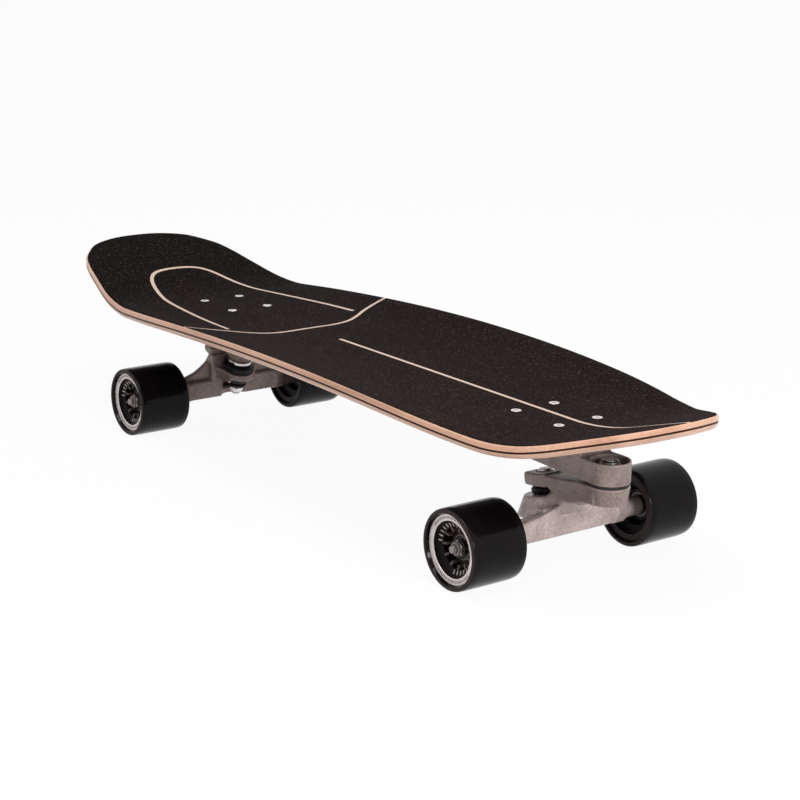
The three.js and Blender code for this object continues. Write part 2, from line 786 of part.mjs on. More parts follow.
function cupSocket(steering) {
  const radius = pivotRadius + seatGap + cupWall + seatGap;
  const end = pivotReach + pivotLength + cupWall + 2 * seatGap;
  return solid(alongPivot(disc(radius, neckStart, end, pivotSides), steering));
}

// Room for the neck, which turns about the pivot axis in front of the cup
function neckRoom(steering) {
  const room = turned([
    [0, -overrun], [neckRadius + cupWall, -overrun], [neckRadius + cupWall, neckStart],
    [neckTipRadius + cupWall, pivotReach - seatGap], [0, pivotReach - seatGap],
  ], pivotSides);
  return solid(alongPivot(room, steering));
}

function housing(steering) {
  const end = pivotReach + pivotLength + cupWall + seatGap + housingWall;
  return solid(alongPivot(disc(housingRadius, pivotReach, end, pivotSides), steering));
}

// The flange under the deck, drilled for the four bolts
function flange(patternX) {
  const half = patternLength / 2 + plateOverhang;
  const side = plateWidth / 2;
  const shape = new THREE.Shape();
  const corners = [[half, side, 0], [-half, side, 1], [-half, -side, 2], [half, -side, 3]];
  for (const [x, y, quarter] of corners) {
    const centreX = x - Math.sign(x) * plateCorner;
    const centreY = y - Math.sign(y) * plateCorner;
    const start = quarter * Math.PI / 2;
    shape.absarc(centreX, centreY, plateCorner, start, start + Math.PI / 2);
  }
  const geometry = plan(shape, plateFloor, truckHeight);
  geometry.translate(patternX, 0, 0);
  return solid(geometry);
}

function drillFlange(body, patternX) {
  let result = body;
  for (const [x, y] of patternPoints(patternX)) {
    const hole = disc(boltRadius + boltHoleGap, -overrun, 3 * overrun, boltSides);
    hole.translate(x, y, 0);
    result = result.subtract(solid(hole));
  }
  return result;
}

function frontBase() {
  const patternX = frontPatternX - frontAxleX;
  const rim = truckHeight - rimDrop;
  const shape = new THREE.Shape();
  shape.moveTo(baseTailX, -baseTailHalf);
  shape.lineTo(swingX, -headRadius);
  shape.absarc(swingX, 0, headRadius, -Math.PI / 2, Math.PI / 2);
  shape.lineTo(baseTailX, baseTailHalf);
  let body = solid(plan(shape, baseBottom, rim));
  const shoulderX = swingX - headRadius;
  const widening = (headRadius - baseTailHalf) / (swingX - baseTailX);
  const half = (x) => baseTailHalf + widening * (x - baseTailX);
  const upper = outlineOf([
    [baseTailX, -baseTailHalf], [shoulderX, -half(shoulderX)], [shoulderX, half(shoulderX)],
    [baseTailX, baseTailHalf],
  ]);
  body = body.add(solid(plan(upper, baseBottom, truckHeight))).add(flange(patternX));
  const inside = headRadius - headWall;
  const cuts = [
    disc(inside, baseBottom - overrun, baseBottom + baseCavity, stackSides),
    disc(headRadius - rimWall, baseBottom + baseCavity + baseFloor, 2 * truckHeight, ringSides),
    disc(pivotBoltRadius + seatGap, 0, 2 * truckHeight, stackSides),
  ];
  for (const cut of cuts) {
    cut.translate(swingX, 0, 0);
    body = body.subtract(solid(cut));
  }
  return piece('front_base', drillFlange(body, patternX), colours.castAluminium);
}

function swingArm() {
  const steering = frontSteering;
  const plate = outlineOf([
    [-armTailReach, -armTailHalf], [armCornerReach, -armHalf], [armHalf, -armHalf], [armHalf, armHalf],
    [armCornerReach, armHalf], [-armTailReach, armTailHalf],
  ]);
  const blockTop = steering.seat + armBlock;
  let body = solid(alongKingpin(plan(plate, steering.seat - armLip, blockTop), steering));
  const from = steering.x + armHalf / 2;
  const belly = armBottom - armDrop / 2;
  const under = bellyShares.map(([along, up]) => [from + along * (swingX - from), belly + up * armDrop]);
  const spineTop = steering.z + blockTop * Math.cos(steering.lean) + armHalf / 2 * Math.tan(steering.lean);
  const spine = outlineOf([...under, [swingX, armTop], [swingX - headRadius, armTop], [from, spineTop]]);
  body = body.add(solid(flank(spine, armHalf)));
  const head = turned([
    [0, armBottom], [armFootRadius, armBottom], [headRadius, armTop], [0, armTop],
  ], ringSides);
  head.translate(swingX, 0, 0);
  body = body.add(solid(head)).add(housing(steering));
  const outline = new THREE.Shape();
  outline.moveTo(-overrun - armTailReach, -armHalf);
  outline.lineTo(swingX, -armHalf);
  outline.absarc(swingX, 0, headRadius, -Math.PI / 2, Math.PI / 2);
  outline.lineTo(-overrun - armTailReach, armHalf);
  body = body.intersect(solid(plan(outline, -overrun, armTop)));
  const inside = headRadius - headWall;
  const column = [
    disc(inside, armTop - armCavity, armTop + overrun, stackSides),
    disc(pivotBoltRadius + seatGap, -overrun, 2 * truckHeight, stackSides),
    disc(pivotBoltFlat / Math.sqrt(3) + seatGap, -overrun, armTop - armCavity - armFloor, stackSides),
  ];
  for (const cut of column) {
    cut.translate(swingX, 0, 0);
    body = body.subtract(solid(cut));
  }
  body = body.subtract(cupSocket(steering)).subtract(neckRoom(steering));
  const pinCuts = [
    disc(kingpinRadius + seatGap, 0, overrun, stackSides),
    disc(kingpinHeadFlat / Math.sqrt(3) + 2 * seatGap, steering.seat + seatThickness, overrun, stackSides),
    disc(upperCupRadius + seatGap, 0, steering.seat, stackSides),
  ];
  for (const cut of pinCuts) body = body.subtract(solid(alongKingpin(cut, steering)));
  return piece('front_swing_arm', body, colours.castAluminium);
}

// A round-wire spring wound about the pivot column, one end in the base and one in the arm
function centringSpring(low, high, radius) {
  const wire = springWire / 2;
  const steps = springTurns * springStepsPerTurn;
  const rise = (high - low - springWire) / steps;
  const centres = [];
  for (let i = 0; i <= steps; i += 1) {
    const angle = i / springStepsPerTurn * 2 * Math.PI;
    const [x, y] = [radius * Math.cos(angle), radius * Math.sin(angle)];
    centres.push(new THREE.Vector3(x, y, low + wire + i * rise));
  }
  const points = [];
  centres.forEach((centre, i) => {
    const angle = i / springStepsPerTurn * 2 * Math.PI;
    const outward = new THREE.Vector3(Math.cos(angle), Math.sin(angle), 0);
    for (let j = 0; j < springSides; j += 1) {
      const turn = j / springSides * 2 * Math.PI;
      const point = centre.clone().addScaledVector(outward, wire * Math.cos(turn));
      point.z += wire * Math.sin(turn);
      points.push(point.x, point.y, point.z);
    }
  });
  const index = [];
  for (let i = 0; i < steps; i += 1) {
    for (let j = 0; j < springSides; j += 1) {
      const next = (j + 1) % springSides;
      const [a, b] = [i * springSides + j, i * springSides + next];
      index.push(a, a + springSides, b, b, a + springSides, b + springSides);
    }
  }
  const coil = (i) => centres.slice(i + springStepsPerTurn / 2);
  const gaps = centres.flatMap((at, i) => coil(i).map((other) => at.distanceTo(other) - springWire));
  console.log('spring: least gap to itself', Math.min(...gaps).toFixed(2), 'mm');
  const last = steps * springSides;
  for (let j = 1; j < springSides - 1; j += 1) {
    index.push(0, j, j + 1);
    index.push(last, last + j + 1, last + j);
  }
  const geometry = new THREE.BufferGeometry();
  geometry.setAttribute('position', new THREE.Float32BufferAttribute(points, 3));
  geometry.setIndex(index);
  return geometry;
}

// What turns or sits about the vertical pivot of the swing arm
function pivotColumn() {
  const inside = headRadius - headWall;
  const armFloorTop = armTop - armCavity;
  const baseFloorLow = baseBottom + baseCavity;
  const boltSeat = armFloorTop - armFloor - seatGap;
  const nutSeat = baseFloorLow + baseFloor + seatGap;
  const sleeveInner = pivotBoltRadius + seatGap;
  const sleeveOuter = sleeveInner + sleeveWall;
  const washer = (low) => tube(inside, inside + washerWidth, low, low + washerThickness, ringSides);
  const bolt = solid(disc(pivotBoltRadius, boltSeat, nutSeat + pivotNutHeight, stackSides))
    .add(solid(hexagon(pivotBoltFlat, boltSeat - pivotBoltHead, boltSeat)));
  const nut = solid(hexagon(pivotBoltFlat, nutSeat, nutSeat + pivotNutHeight))
    .subtract(solid(disc(pivotBoltRadius + bearingFit, 0, 2 * truckHeight, stackSides)));
  const sleeve = tube(sleeveInner, sleeveOuter, armFloorTop + seatGap, baseFloorLow - seatGap, stackSides);
  const springRadius = (sleeveOuter + inside) / 2;
  const spring = centringSpring(armFloorTop + seatGap, baseFloorLow - seatGap, springRadius);
  const lowerWasher = armTop + seatGap;
  const upperWasher = lowerWasher + washerThickness + seatGap;
  const column = new THREE.Group();
  column.add(
    piece('front_pivot_bolt', bolt, colours.zinc),
    piece('front_pivot_nut', nut, colours.zinc),
    piece('front_pivot_sleeve', solid(sleeve), colours.bearingSteel),
    piece('front_centring_spring', solid(spring), colours.spring),
    piece('front_thrust_washer_lower', solid(washer(lowerWasher)), colours.bearingSteel),
    piece('front_thrust_washer_upper', solid(washer(upperWasher)), colours.bearingSteel),
  );
  column.position.x = swingX;
  return column;
}

function rearBase() {
  const steering = rearSteering;
  const patternX = rearAxleX - rearPatternX;
  let body = flange(patternX);
  const boss = turned([
    [0, steering.seat], [bossFoot, steering.seat], [bossRadius, steering.seat + bossTaper],
    [bossRadius, 2 * overrun], [0, 2 * overrun],
  ], ringSides);
  body = body.add(solid(alongKingpin(boss, steering))).add(housing(steering));
  const along = pivotReach + pivotLength / 2;
  const housingX = steering.x + along * Math.cos(steering.rise);
  const housingZ = steering.z + along * Math.sin(steering.rise);
  const postAlong = [housingX, housingX + housingRadius];
  const post = block(postAlong, [-housingRadius, housingRadius], [housingZ, truckHeight]);
  const webAlong = [steering.x, housingX + housingRadius / 2];
  const web = block(webAlong, [-webHalf, webHalf], [truckHeight - webDrop, truckHeight]);
  body = body.add(solid(post)).add(solid(web));
  const room = block([-2 * overrun, 2 * overrun], [-overrun, overrun], [-overrun, truckHeight]);
  body = body.intersect(solid(room));
  body = body.subtract(cupSocket(steering)).subtract(neckRoom(steering));
  const cuts = [
    disc(kingpinRadius + seatGap, 0, 2 * overrun, stackSides),
    disc(kingpinHeadFlat / Math.sqrt(3) + headRecess, steering.seat + seatThickness, 3 * overrun, stackSides),
  ];
  for (const cut of cuts) body = body.subtract(solid(alongKingpin(cut, steering)));
  return piece('rear_base', drillFlange(body, patternX), colours.castAluminium);
}

function truck(name, axleX, heading, steering, wingShares) {
  const group = new THREE.Group();
  group.add(hanger(`${name}_hanger`, steering, wingShares), axle(`${name}_axle`));
  group.add(kingpinStack(name, steering), pivotCup(`${name}_pivot_cup`, steering));
  for (const side of [1, -1]) {
    const label = `${name}_${side * Math.cos(heading) > 0 ? 'left' : 'right'}`;
    group.add(wheelPieces(label, side), axleNut(`${label}_axle_nut`, side));
  }
  group.position.set(axleX, 0, axleHeight);
  group.rotation.z = heading;
  return group;
}

const board = new THREE.Group();
board.add(...deckPieces(), ...gripPieces(), ...deckBolts());
const front = truck('front', frontAxleX, 0, frontSteering, frontWingShares);
front.add(frontBase(), swingArm(), pivotColumn());
const rear = truck('rear', rearAxleX, Math.PI, rearSteering, rearWingShares);
rear.add(rearBase());
board.add(front, rear);

export default board;
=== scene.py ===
"""Looks of a surf skateboard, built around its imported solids.

Sizes are in millimetres, as in the part's source, and are turned to metres when a mesh is made.
The frame is the part's own: +X to the nose, +Y to the rider's left, +Z up, the origin on the ground.
"""

import logging
import math
from collections.abc import Sequence
from dataclasses import dataclass, field
from enum import Enum
from typing import ClassVar

import bmesh
import bpy
import numpy as np
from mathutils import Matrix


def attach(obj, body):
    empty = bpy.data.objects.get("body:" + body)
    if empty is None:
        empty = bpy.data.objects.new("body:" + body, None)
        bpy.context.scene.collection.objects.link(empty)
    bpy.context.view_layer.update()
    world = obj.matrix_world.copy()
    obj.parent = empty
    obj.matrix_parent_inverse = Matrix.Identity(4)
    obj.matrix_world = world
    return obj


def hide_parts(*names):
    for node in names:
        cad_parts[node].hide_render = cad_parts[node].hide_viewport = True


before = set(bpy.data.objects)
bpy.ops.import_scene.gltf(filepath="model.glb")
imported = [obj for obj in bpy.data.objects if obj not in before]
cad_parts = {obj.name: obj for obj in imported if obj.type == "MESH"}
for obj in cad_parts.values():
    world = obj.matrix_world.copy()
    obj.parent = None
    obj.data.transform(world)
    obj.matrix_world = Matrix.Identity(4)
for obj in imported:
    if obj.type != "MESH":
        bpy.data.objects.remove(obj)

import openvdb
from mathutils import Matrix, Vector

LOG = logging.getLogger("surf_skateboard")
MILLIMETRE = 0.001
BOLT_PATTERN = (53.975, 41.275)
FAR = 60
THREAD_SIDES = 40
NUT_SIDES = 48
RING_SIDES = 72
HUB_SIDES = 96
TYRE_SIDES = 128

Pair = tuple[float, float]
Triple = tuple[float, float, float]
Field = np.ndarray
Socket = bpy.types.NodeSocket
Inputs = dict[str | int, object]


class Cut(Enum):
    """What a tool body does to the body it meets."""

    TAKE_OUT = "DIFFERENCE"
    JOIN = "UNION"
    KEEP_SHARED = "INTERSECT"


class Slot(Enum):
    """The record's material slots."""

    MAPLE = "maple"
    DARK_MAPLE = "dark_maple"
    GRIP = "grip"
    CAST = "cast_aluminium"
    ZINC = "zinc"
    STEEL = "bearing_steel"
    URETHANE = "urethane"
    PLASTIC = "core_plastic"
    BUSHING = "bushing"
    SPRING = "spring"


class End(Enum):
    """Which end of the board a truck carries."""

    FRONT = "front"
    REAR = "rear"


# Finishes


def linear(colour: Triple) -> tuple[float, float, float, float]:
    """Turn a colour written as on a screen, 0 to 255, into the shader's own measure.

    Args:
        colour: Red, green and blue.

    Returns:
        The same colour in linear light, with full opacity.
    """
    parts = [c / 255 for c in colour]
    red, green, blue = (c / 12.92 if c <= 0.04045 else ((c + 0.055) / 1.055) ** 2.4 for c in parts)
    return red, green, blue, 1.0


def fill(tree: bpy.types.NodeTree, node: bpy.types.Node, inputs: Inputs) -> None:
    """Lead sources into a node's sockets, and set plain values on them.

    Args:
        tree: The node's tree.
        node: The node.
        inputs: A source or a value for each socket.
    """
    for socket, value in inputs.items():
        if isinstance(value, Socket):
            tree.links.new(value, node.inputs[socket])
        else:
            node.inputs[socket].default_value = value


def add_node(tree: bpy.types.NodeTree, kind: str, inputs: Inputs, output: str | int = 0,
             **settings: object) -> Socket:
    """Add a shader node, set it and fill its sockets.

    Args:
        tree: The tree to work in.
        kind: The kind of node.
        inputs: A source or a value for each socket.
        output: The socket that is handed on.
        **settings: The node's own settings.

    Returns:
        The chosen output.
    """
    node = tree.nodes.new(f"ShaderNode{kind}")
    for name, value in settings.items():
        setattr(node, name, value)
    fill(tree, node, inputs)
    return node.outputs[output]


def tinted(colour: Triple, factor: float, most: float = 255) -> Triple:
    """Make a screen colour lighter or darker by a factor, no part of it above the most."""
    return tuple(min(most, factor * c) for c in colour)


class Surface:
    """The node tree of one finish, with short calls for the nodes that finishes share."""

    def __init__(self, name: str) -> None:
        """Open a new material with its shader and its place on the part.

        Args:
            name: The material's name.
        """
        self.material = bpy.data.materials.new(name)
        self.material.use_nodes = True
        self.tree = self.material.node_tree
        self.place = self.node("TexCoord", {}, "Object")

    def node(self, kind: str, inputs: Inputs, output: str | int = 0, **settings: object) -> Socket:
        """Add a node to the finish, as add_node says."""
        return add_node(self.tree, kind, inputs, output, **settings)

    def stretched(self, scale: Triple) -> Socket:
        """The place on the part, with so many steps of a pattern in a metre along each axis."""
        return self.node("Mapping", {"Scale": scale, "Vector": self.place}, "Vector")

    def noise(self, place: Socket, detail: float, rough: float = 0.5, twist: float = 0.0,
              scale: float = 1.0) -> Socket:
        """Add soft noise.

        Args:
            place: Where the noise is read.
            detail: How many finer layers it has.
            rough: How strong the finer layers are.
            twist: How much it is distorted.
            scale: Its own scale over that of the place.

        Returns:
            The noise, from 0 to 1.
        """
        inputs = {"Scale": scale, "Detail": detail, "Roughness": rough, "Distortion": twist, "Vector": place}
        return self.node("TexNoise", inputs, "Fac")

    def grains(self, size: float) -> Socket:
        """Add close grains of a size in millimetres, each with its own random shade from 0 to 1."""
        colour = self.node("TexVoronoi", {"Scale": 1000 / size, "Vector": self.place}, "Color")
        return self.node("SeparateColor", {"Color": colour}, "Red")

    def ramp(self, value: Socket, stops: Sequence[tuple[float, Triple]]) -> Socket:
        """Colour a value by steps that run into each other.

        Args:
            value: The value to colour.
            stops: Places from 0 to 1 with their screen colours.

        Returns:
            The colour.
        """
        node = self.tree.nodes.new("ShaderNodeValToRGB")
        elements = node.color_ramp.elements
        for _ in range(len(stops) - len(elements)):
            elements.new(0.5)
        for element, (place, colour) in zip(elements, stops):
            element.position = place
            element.color = linear(colour)
        fill(self.tree, node, {"Fac": value})
        return node.outputs["Color"]

    def span(self, value: Socket, low: float, high: float, start: float = 0.0, end: float = 1.0) -> Socket:
        """Spread a value between two limits.

        Args:
            value: The value to spread.
            low: What start becomes.
            high: What end becomes.
            start: The value that becomes low.
            end: The value that becomes high.

        Returns:
            The spread value, held within the limits.
        """
        inputs = {"From Min": start, "From Max": end, "To Min": low, "To Max": high, "Value": value}
        return self.node("MapRange", inputs, "Result")

    def mix(self, share: Socket, first: Socket | Triple, second: Socket | Triple) -> Socket:
        """Mix two colours.

        Args:
            share: The second colour's share.
            first: The first colour, a socket or a screen colour.
            second: The second colour, a socket or a screen colour.

        Returns:
            The mixed colour.
        """
        inks = [ink if isinstance(ink, Socket) else linear(ink) for ink in (first, second)]
        return self.node("Mix", {0: share, 6: inks[0], 7: inks[1]}, 2, data_type="RGBA")

    def blend(self, share: Socket, first: Socket, second: float) -> Socket:
        """Go from a value to a fixed number by the number's share."""
        return self.node("Mix", {0: share, 2: first, 3: second})

    def bump(self, height: Socket, strength: float, depth: float, under: Socket | None = None) -> Socket:
        """Raise the surface by a height.

        Args:
            height: The height, from 0 to 1.
            strength: How much of the bump shows.
            depth: The height of 1, in millimetres.
            under: A bump that this one lies on.

        Returns:
            The surface's normal.
        """
        inputs = {"Strength": strength, "Distance": depth * MILLIMETRE, "Height": height}
        if under is not None:
            inputs["Normal"] = under
        return self.node("Bump", inputs, "Normal")

    def sideways(self) -> Socket:
        """Tell from 0 to 1 how far the surface faces along the axles."""
        normal = self.node("TexCoord", {}, "Normal")
        return self.node("Math", {0: self.node("SeparateXYZ", {0: normal}, "Y")}, operation="ABSOLUTE")

    def lengthwise(self) -> Socket:
        """Tell in metres where the surface lies along the board, more toward the nose."""
        return self.node("SeparateXYZ", {0: self.place}, "X")

    def edge_and_corner_mask(self) -> Socket:
        """Find the edges: about 0.5 on flat places, more on edges and less in corners."""
        return self.node("NewGeometry", {}, "Pointiness")


@dataclass(frozen=True)
class Finish:
    """A finish of the board: its material's name and the record's slot it stands for."""

    name: str
    slot: Slot

    def sockets(self, s: Surface) -> Inputs:
        """What each socket of the shader gets; every kind of finish has its own."""
        raise NotImplementedError

    def material(self) -> bpy.types.Material:
        """Build the finish.

        Returns:
            The material.
        """
        s = Surface(self.name)
        fill(s.tree, s.tree.nodes["Principled BSDF"], self.sockets(s))
        return s.material


@dataclass(frozen=True)
class Veneer(Finish):
    """Clear-coated wood with its grain along the board and its plies showing in the edge."""

    pale: Triple
    middle: Triple
    deep: Triple
    plies: int
    thickness: float
    top: Triple
    bottom: Triple
    roughness: float = 0.42
    coat: float = 0.25
    gloss: float = 0.4
    figure_scale: Triple = (3.2, 30, 30)
    fibre_scale: Triple = (26, 900, 900)
    pore_scale: Triple = (110, 2600, 2600)
    joint_width: float = 0.16

    def sockets(self, s: Surface) -> Inputs:
        """Lay out the wood.

        Args:
            s: The material's surface.

        Returns:
            What each socket of the shader gets.
        """
        figure = s.noise(s.stretched(self.figure_scale), 3, 0.55, 0.9)
        fibre = s.noise(s.stretched(self.fibre_scale), 4, 0.6)
        pores = s.noise(s.stretched(self.pore_scale), 2, 0.6)
        tone = s.ramp(figure, [(0.25, self.deep), (0.5, self.middle), (0.75, self.pale)])
        streaked = s.mix(s.span(fibre, 0, 0.55, 0.45, 0.75), tone, self.deep)
        pored = s.mix(s.span(pores, 0, 0.5, 0.63, 0.72), streaked, tinted(self.deep, 0.62))
        height = s.node("Attribute", {}, "Fac", attribute_name=Ply.HEIGHT_LAYER)
        step = s.node("Math", {0: height, 1: self.thickness / self.plies / 2}, operation="PINGPONG")
        jointed = s.mix(s.span(step, 0.5, 0, 0, self.joint_width), pored, tinted(self.deep, 0.66))
        over = s.span(height, 0, 0.85, self.thickness - 0.12, self.thickness - 0.04)
        topped = s.mix(over, jointed, self.top)
        return {
            "Base Color": s.mix(s.span(height, 0.94, 0, 0.05, 0.2), topped, self.bottom),
            "Roughness": s.span(fibre, self.roughness - 0.08, self.roughness + 0.14),
            "Normal": s.bump(fibre, 0.35, 0.12, s.bump(pores, 0.25, 0.06)),
            "Specular IOR Level": self.gloss,
            "Coat Weight": self.coat,
            "Coat Roughness": 0.3,
        }


@dataclass(frozen=True)
class GritPaper(Finish):
    """Black grip: close mineral grains on a cloth back, with painted shade that darkens it from the middle to
    the tail, so the middle reads as a lighter painted sheen.
    """

    base: Triple
    dusty: Triple
    lint_and_glint: Triple
    clean_and_tail_shade: Triple
    grain: float
    lint: float = 1.1
    cloud_scale: Triple = (7, 16, 16)
    smudge_scale: float = 380
    tail_shade: float = 0.84
    tail_x: float = -0.42
    shade_end_x: float = 0.16

    def sockets(self, s: Surface) -> Inputs:
        """Lay out the grip.

        Args:
            s: The material's surface.

        Returns:
            What each socket of the shader gets.
        """
        grit = s.grains(self.grain)
        fine = s.noise(s.place, 3, 0.7, 0, 1400 / self.grain)
        cloud = s.noise(s.stretched(self.cloud_scale), 5, 0.62, 0.4)
        ground = s.mix(s.span(cloud, 0, 0.75, 0.35, 0.75), self.base, self.dusty)
        grained = s.mix(s.span(grit, 0, 0.28, 0.4, 1.0), ground, self.dusty)
        # Painted shade: the grip darkens along the board toward the tail, leaving a painted sheen over the
        # middle; the smudges are random darker patches.
        toward = s.span(s.lengthwise(), self.tail_shade, 0, self.tail_x, self.shade_end_x)
        smudges = s.span(s.noise(s.place, 2, 0.7, 0, self.smudge_scale), 0, 0.7, 0.52, 0.72)
        smudged = s.mix(smudges, s.mix(toward, grained, self.clean_and_tail_shade), self.clean_and_tail_shade)
        linted = s.mix(s.span(s.grains(self.lint), 0, 0.42, 0.982, 0.99), smudged, self.lint_and_glint)
        return {
            # Painted glints: a few random grit grains take the light speck colour, which the lint specks also
            # use.
            "Base Color": s.mix(s.span(grit, 0, 0.65, 0.975, 0.99), linted, self.lint_and_glint),
            "Roughness": s.span(grit, 0.95, 0.62, 0.7, 1.0),
            "Specular IOR Level": 0.06,
            "Normal": s.bump(grit, 0.8, 0.22, s.bump(fine, 0.5, 0.15)),
        }


@dataclass(frozen=True)
class Metal(Finish):
    """A metal with the grain that its making leaves, lighter on its edges as wear and painted highlight, and,
    where set, darkened with painted shade in its corners and given painted glints among its blast specks.
    """

    colour: Triple
    dull: Triple
    roughness: float
    metallic: float
    grain: float
    grain_depth: float
    swell: float = 0.0
    pits: float = 0.0
    edge: float = 1.12
    cavity: float = 0.0
    gloss: float = 0.5
    cloud_scale: float = 55
    blast_scale: float = 420
    brightest: float = 250
    corner_shade: Triple = (14, 11, 11)

    def sockets(self, s: Surface) -> Inputs:
        """Lay out the metal.

        Args:
            s: The material's surface.

        Returns:
            What each socket of the shader gets.
        """
        grain = s.noise(s.place, 3, 0.65, 0, 1000 / self.grain)
        cloud = s.noise(s.place, 4, 0.6, 0.3, self.cloud_scale)
        toned = s.mix(s.span(cloud, 0, 0.8, 0.38, 0.68), self.colour, self.dull)
        under = s.bump(cloud, 0.4, self.swell) if self.swell else None
        if self.pits:
            # Blast specks: darker specks, and lighter specks that are painted glints.
            blast = s.noise(s.place, 3, 0.65, 0, self.blast_scale)
            toned = s.mix(s.span(blast, 0.35, 0, 0.34, 0.5), toned, tinted(self.dull, 0.7))
            painted_glint = tinted(self.colour, 1.2, self.brightest)
            toned = s.mix(s.span(blast, 0, 0.4, 0.56, 0.7), toned, painted_glint)
            under = s.bump(blast, 0.7, self.pits, under)
        # Edges are lightened by the edge factor: wear, and a painted highlight where the factor is large.
        wear_and_highlight_tone = tinted(self.colour, self.edge, self.brightest)
        worn = s.mix(s.span(s.edge_and_corner_mask(), 0, 0.75, 0.515, 0.56), toned, wear_and_highlight_tone)
        # Painted shade: concave corners and recesses darken toward near black.
        if self.cavity:
            worn = s.mix(s.span(s.edge_and_corner_mask(), self.cavity, 0, 0.4, 0.47), worn, self.corner_shade)
        return {
            "Base Color": worn,
            "Roughness": s.span(grain, self.roughness - 0.09, self.roughness + 0.11, 0.3, 0.7),
            "Metallic": self.metallic,
            "Specular IOR Level": self.gloss,
            "Normal": s.bump(grain, 0.55, self.grain_depth, under),
        }


@dataclass(frozen=True)
class Polymer(Finish):
    """Cast or moulded plastic and rubber, with a faint bloom and handling marks."""

    colour: Triple
    bloom: Triple
    roughness: float
    coat: float
    grain: float
    grain_depth: float
    gloss: float = 0.5
    worn: float = 0.0
    face: Triple | None = None
    face_roughness: float = 0.5
    cloud_scale: float = 38
    mark_scale: Triple = (240, 55, 240)

    def sockets(self, s: Surface) -> Inputs:
        """Lay out the plastic.

        Args:
            s: The material's surface.

        Returns:
            What each socket of the shader gets.
        """
        cloud = s.noise(s.place, 4, 0.6, 0.5, self.cloud_scale)
        grain = s.noise(s.place, 3, 0.6, 0, 1000 / self.grain)
        marks = s.noise(s.stretched(self.mark_scale), 3, 0.7, 0.8)
        toned = s.mix(s.span(cloud, 0, 1, 0.35, 0.8), self.colour, self.bloom)
        polish = s.span(marks, self.roughness, self.roughness + 0.14, 0.45, 0.8)
        if self.face:
            side = s.span(s.sideways(), 0, 1, 0.55, 0.8)
            toned = s.mix(side, toned, self.face)
            polish = s.blend(side, polish, self.face_roughness)
        edges = s.span(s.edge_and_corner_mask(), 0, self.worn, 0.51, 0.56)
        return {
            "Base Color": s.mix(edges, toned, tinted(self.bloom, 2.2)),
            "Roughness": polish,
            "Specular IOR Level": self.gloss,
            "Coat Weight": self.coat,
            "Coat Roughness": 0.12,
            "Normal": s.bump(grain, 0.35, self.grain_depth),
        }


@dataclass(frozen=True)
class PrintedRing(Finish):
    """Satin print on a wheel's face, worn thin in places."""

    silver: Triple
    shade: Triple
    fleck_scale: float = 900
    cloud_scale: float = 70
    metallic: float = 0.35

    def sockets(self, s: Surface) -> Inputs:
        """Lay out the print.

        Args:
            s: The material's surface.

        Returns:
            What each socket of the shader gets.
        """
        fleck = s.noise(s.place, 4, 0.7, 0, self.fleck_scale)
        cloud = s.noise(s.place, 3, 0.6, 0.6, self.cloud_scale)
        toned = s.mix(s.span(cloud, 0, 1, 0.3, 0.8), self.silver, self.shade)
        return {
            "Base Color": s.mix(s.span(fleck, 0, 0.75, 0.62, 0.72), toned, tinted(self.shade, 0.4)),
            "Metallic": self.metallic,
            "Roughness": s.span(fleck, 0.3, 0.5),
            "Normal": s.bump(fleck, 0.3, 0.05),
        }


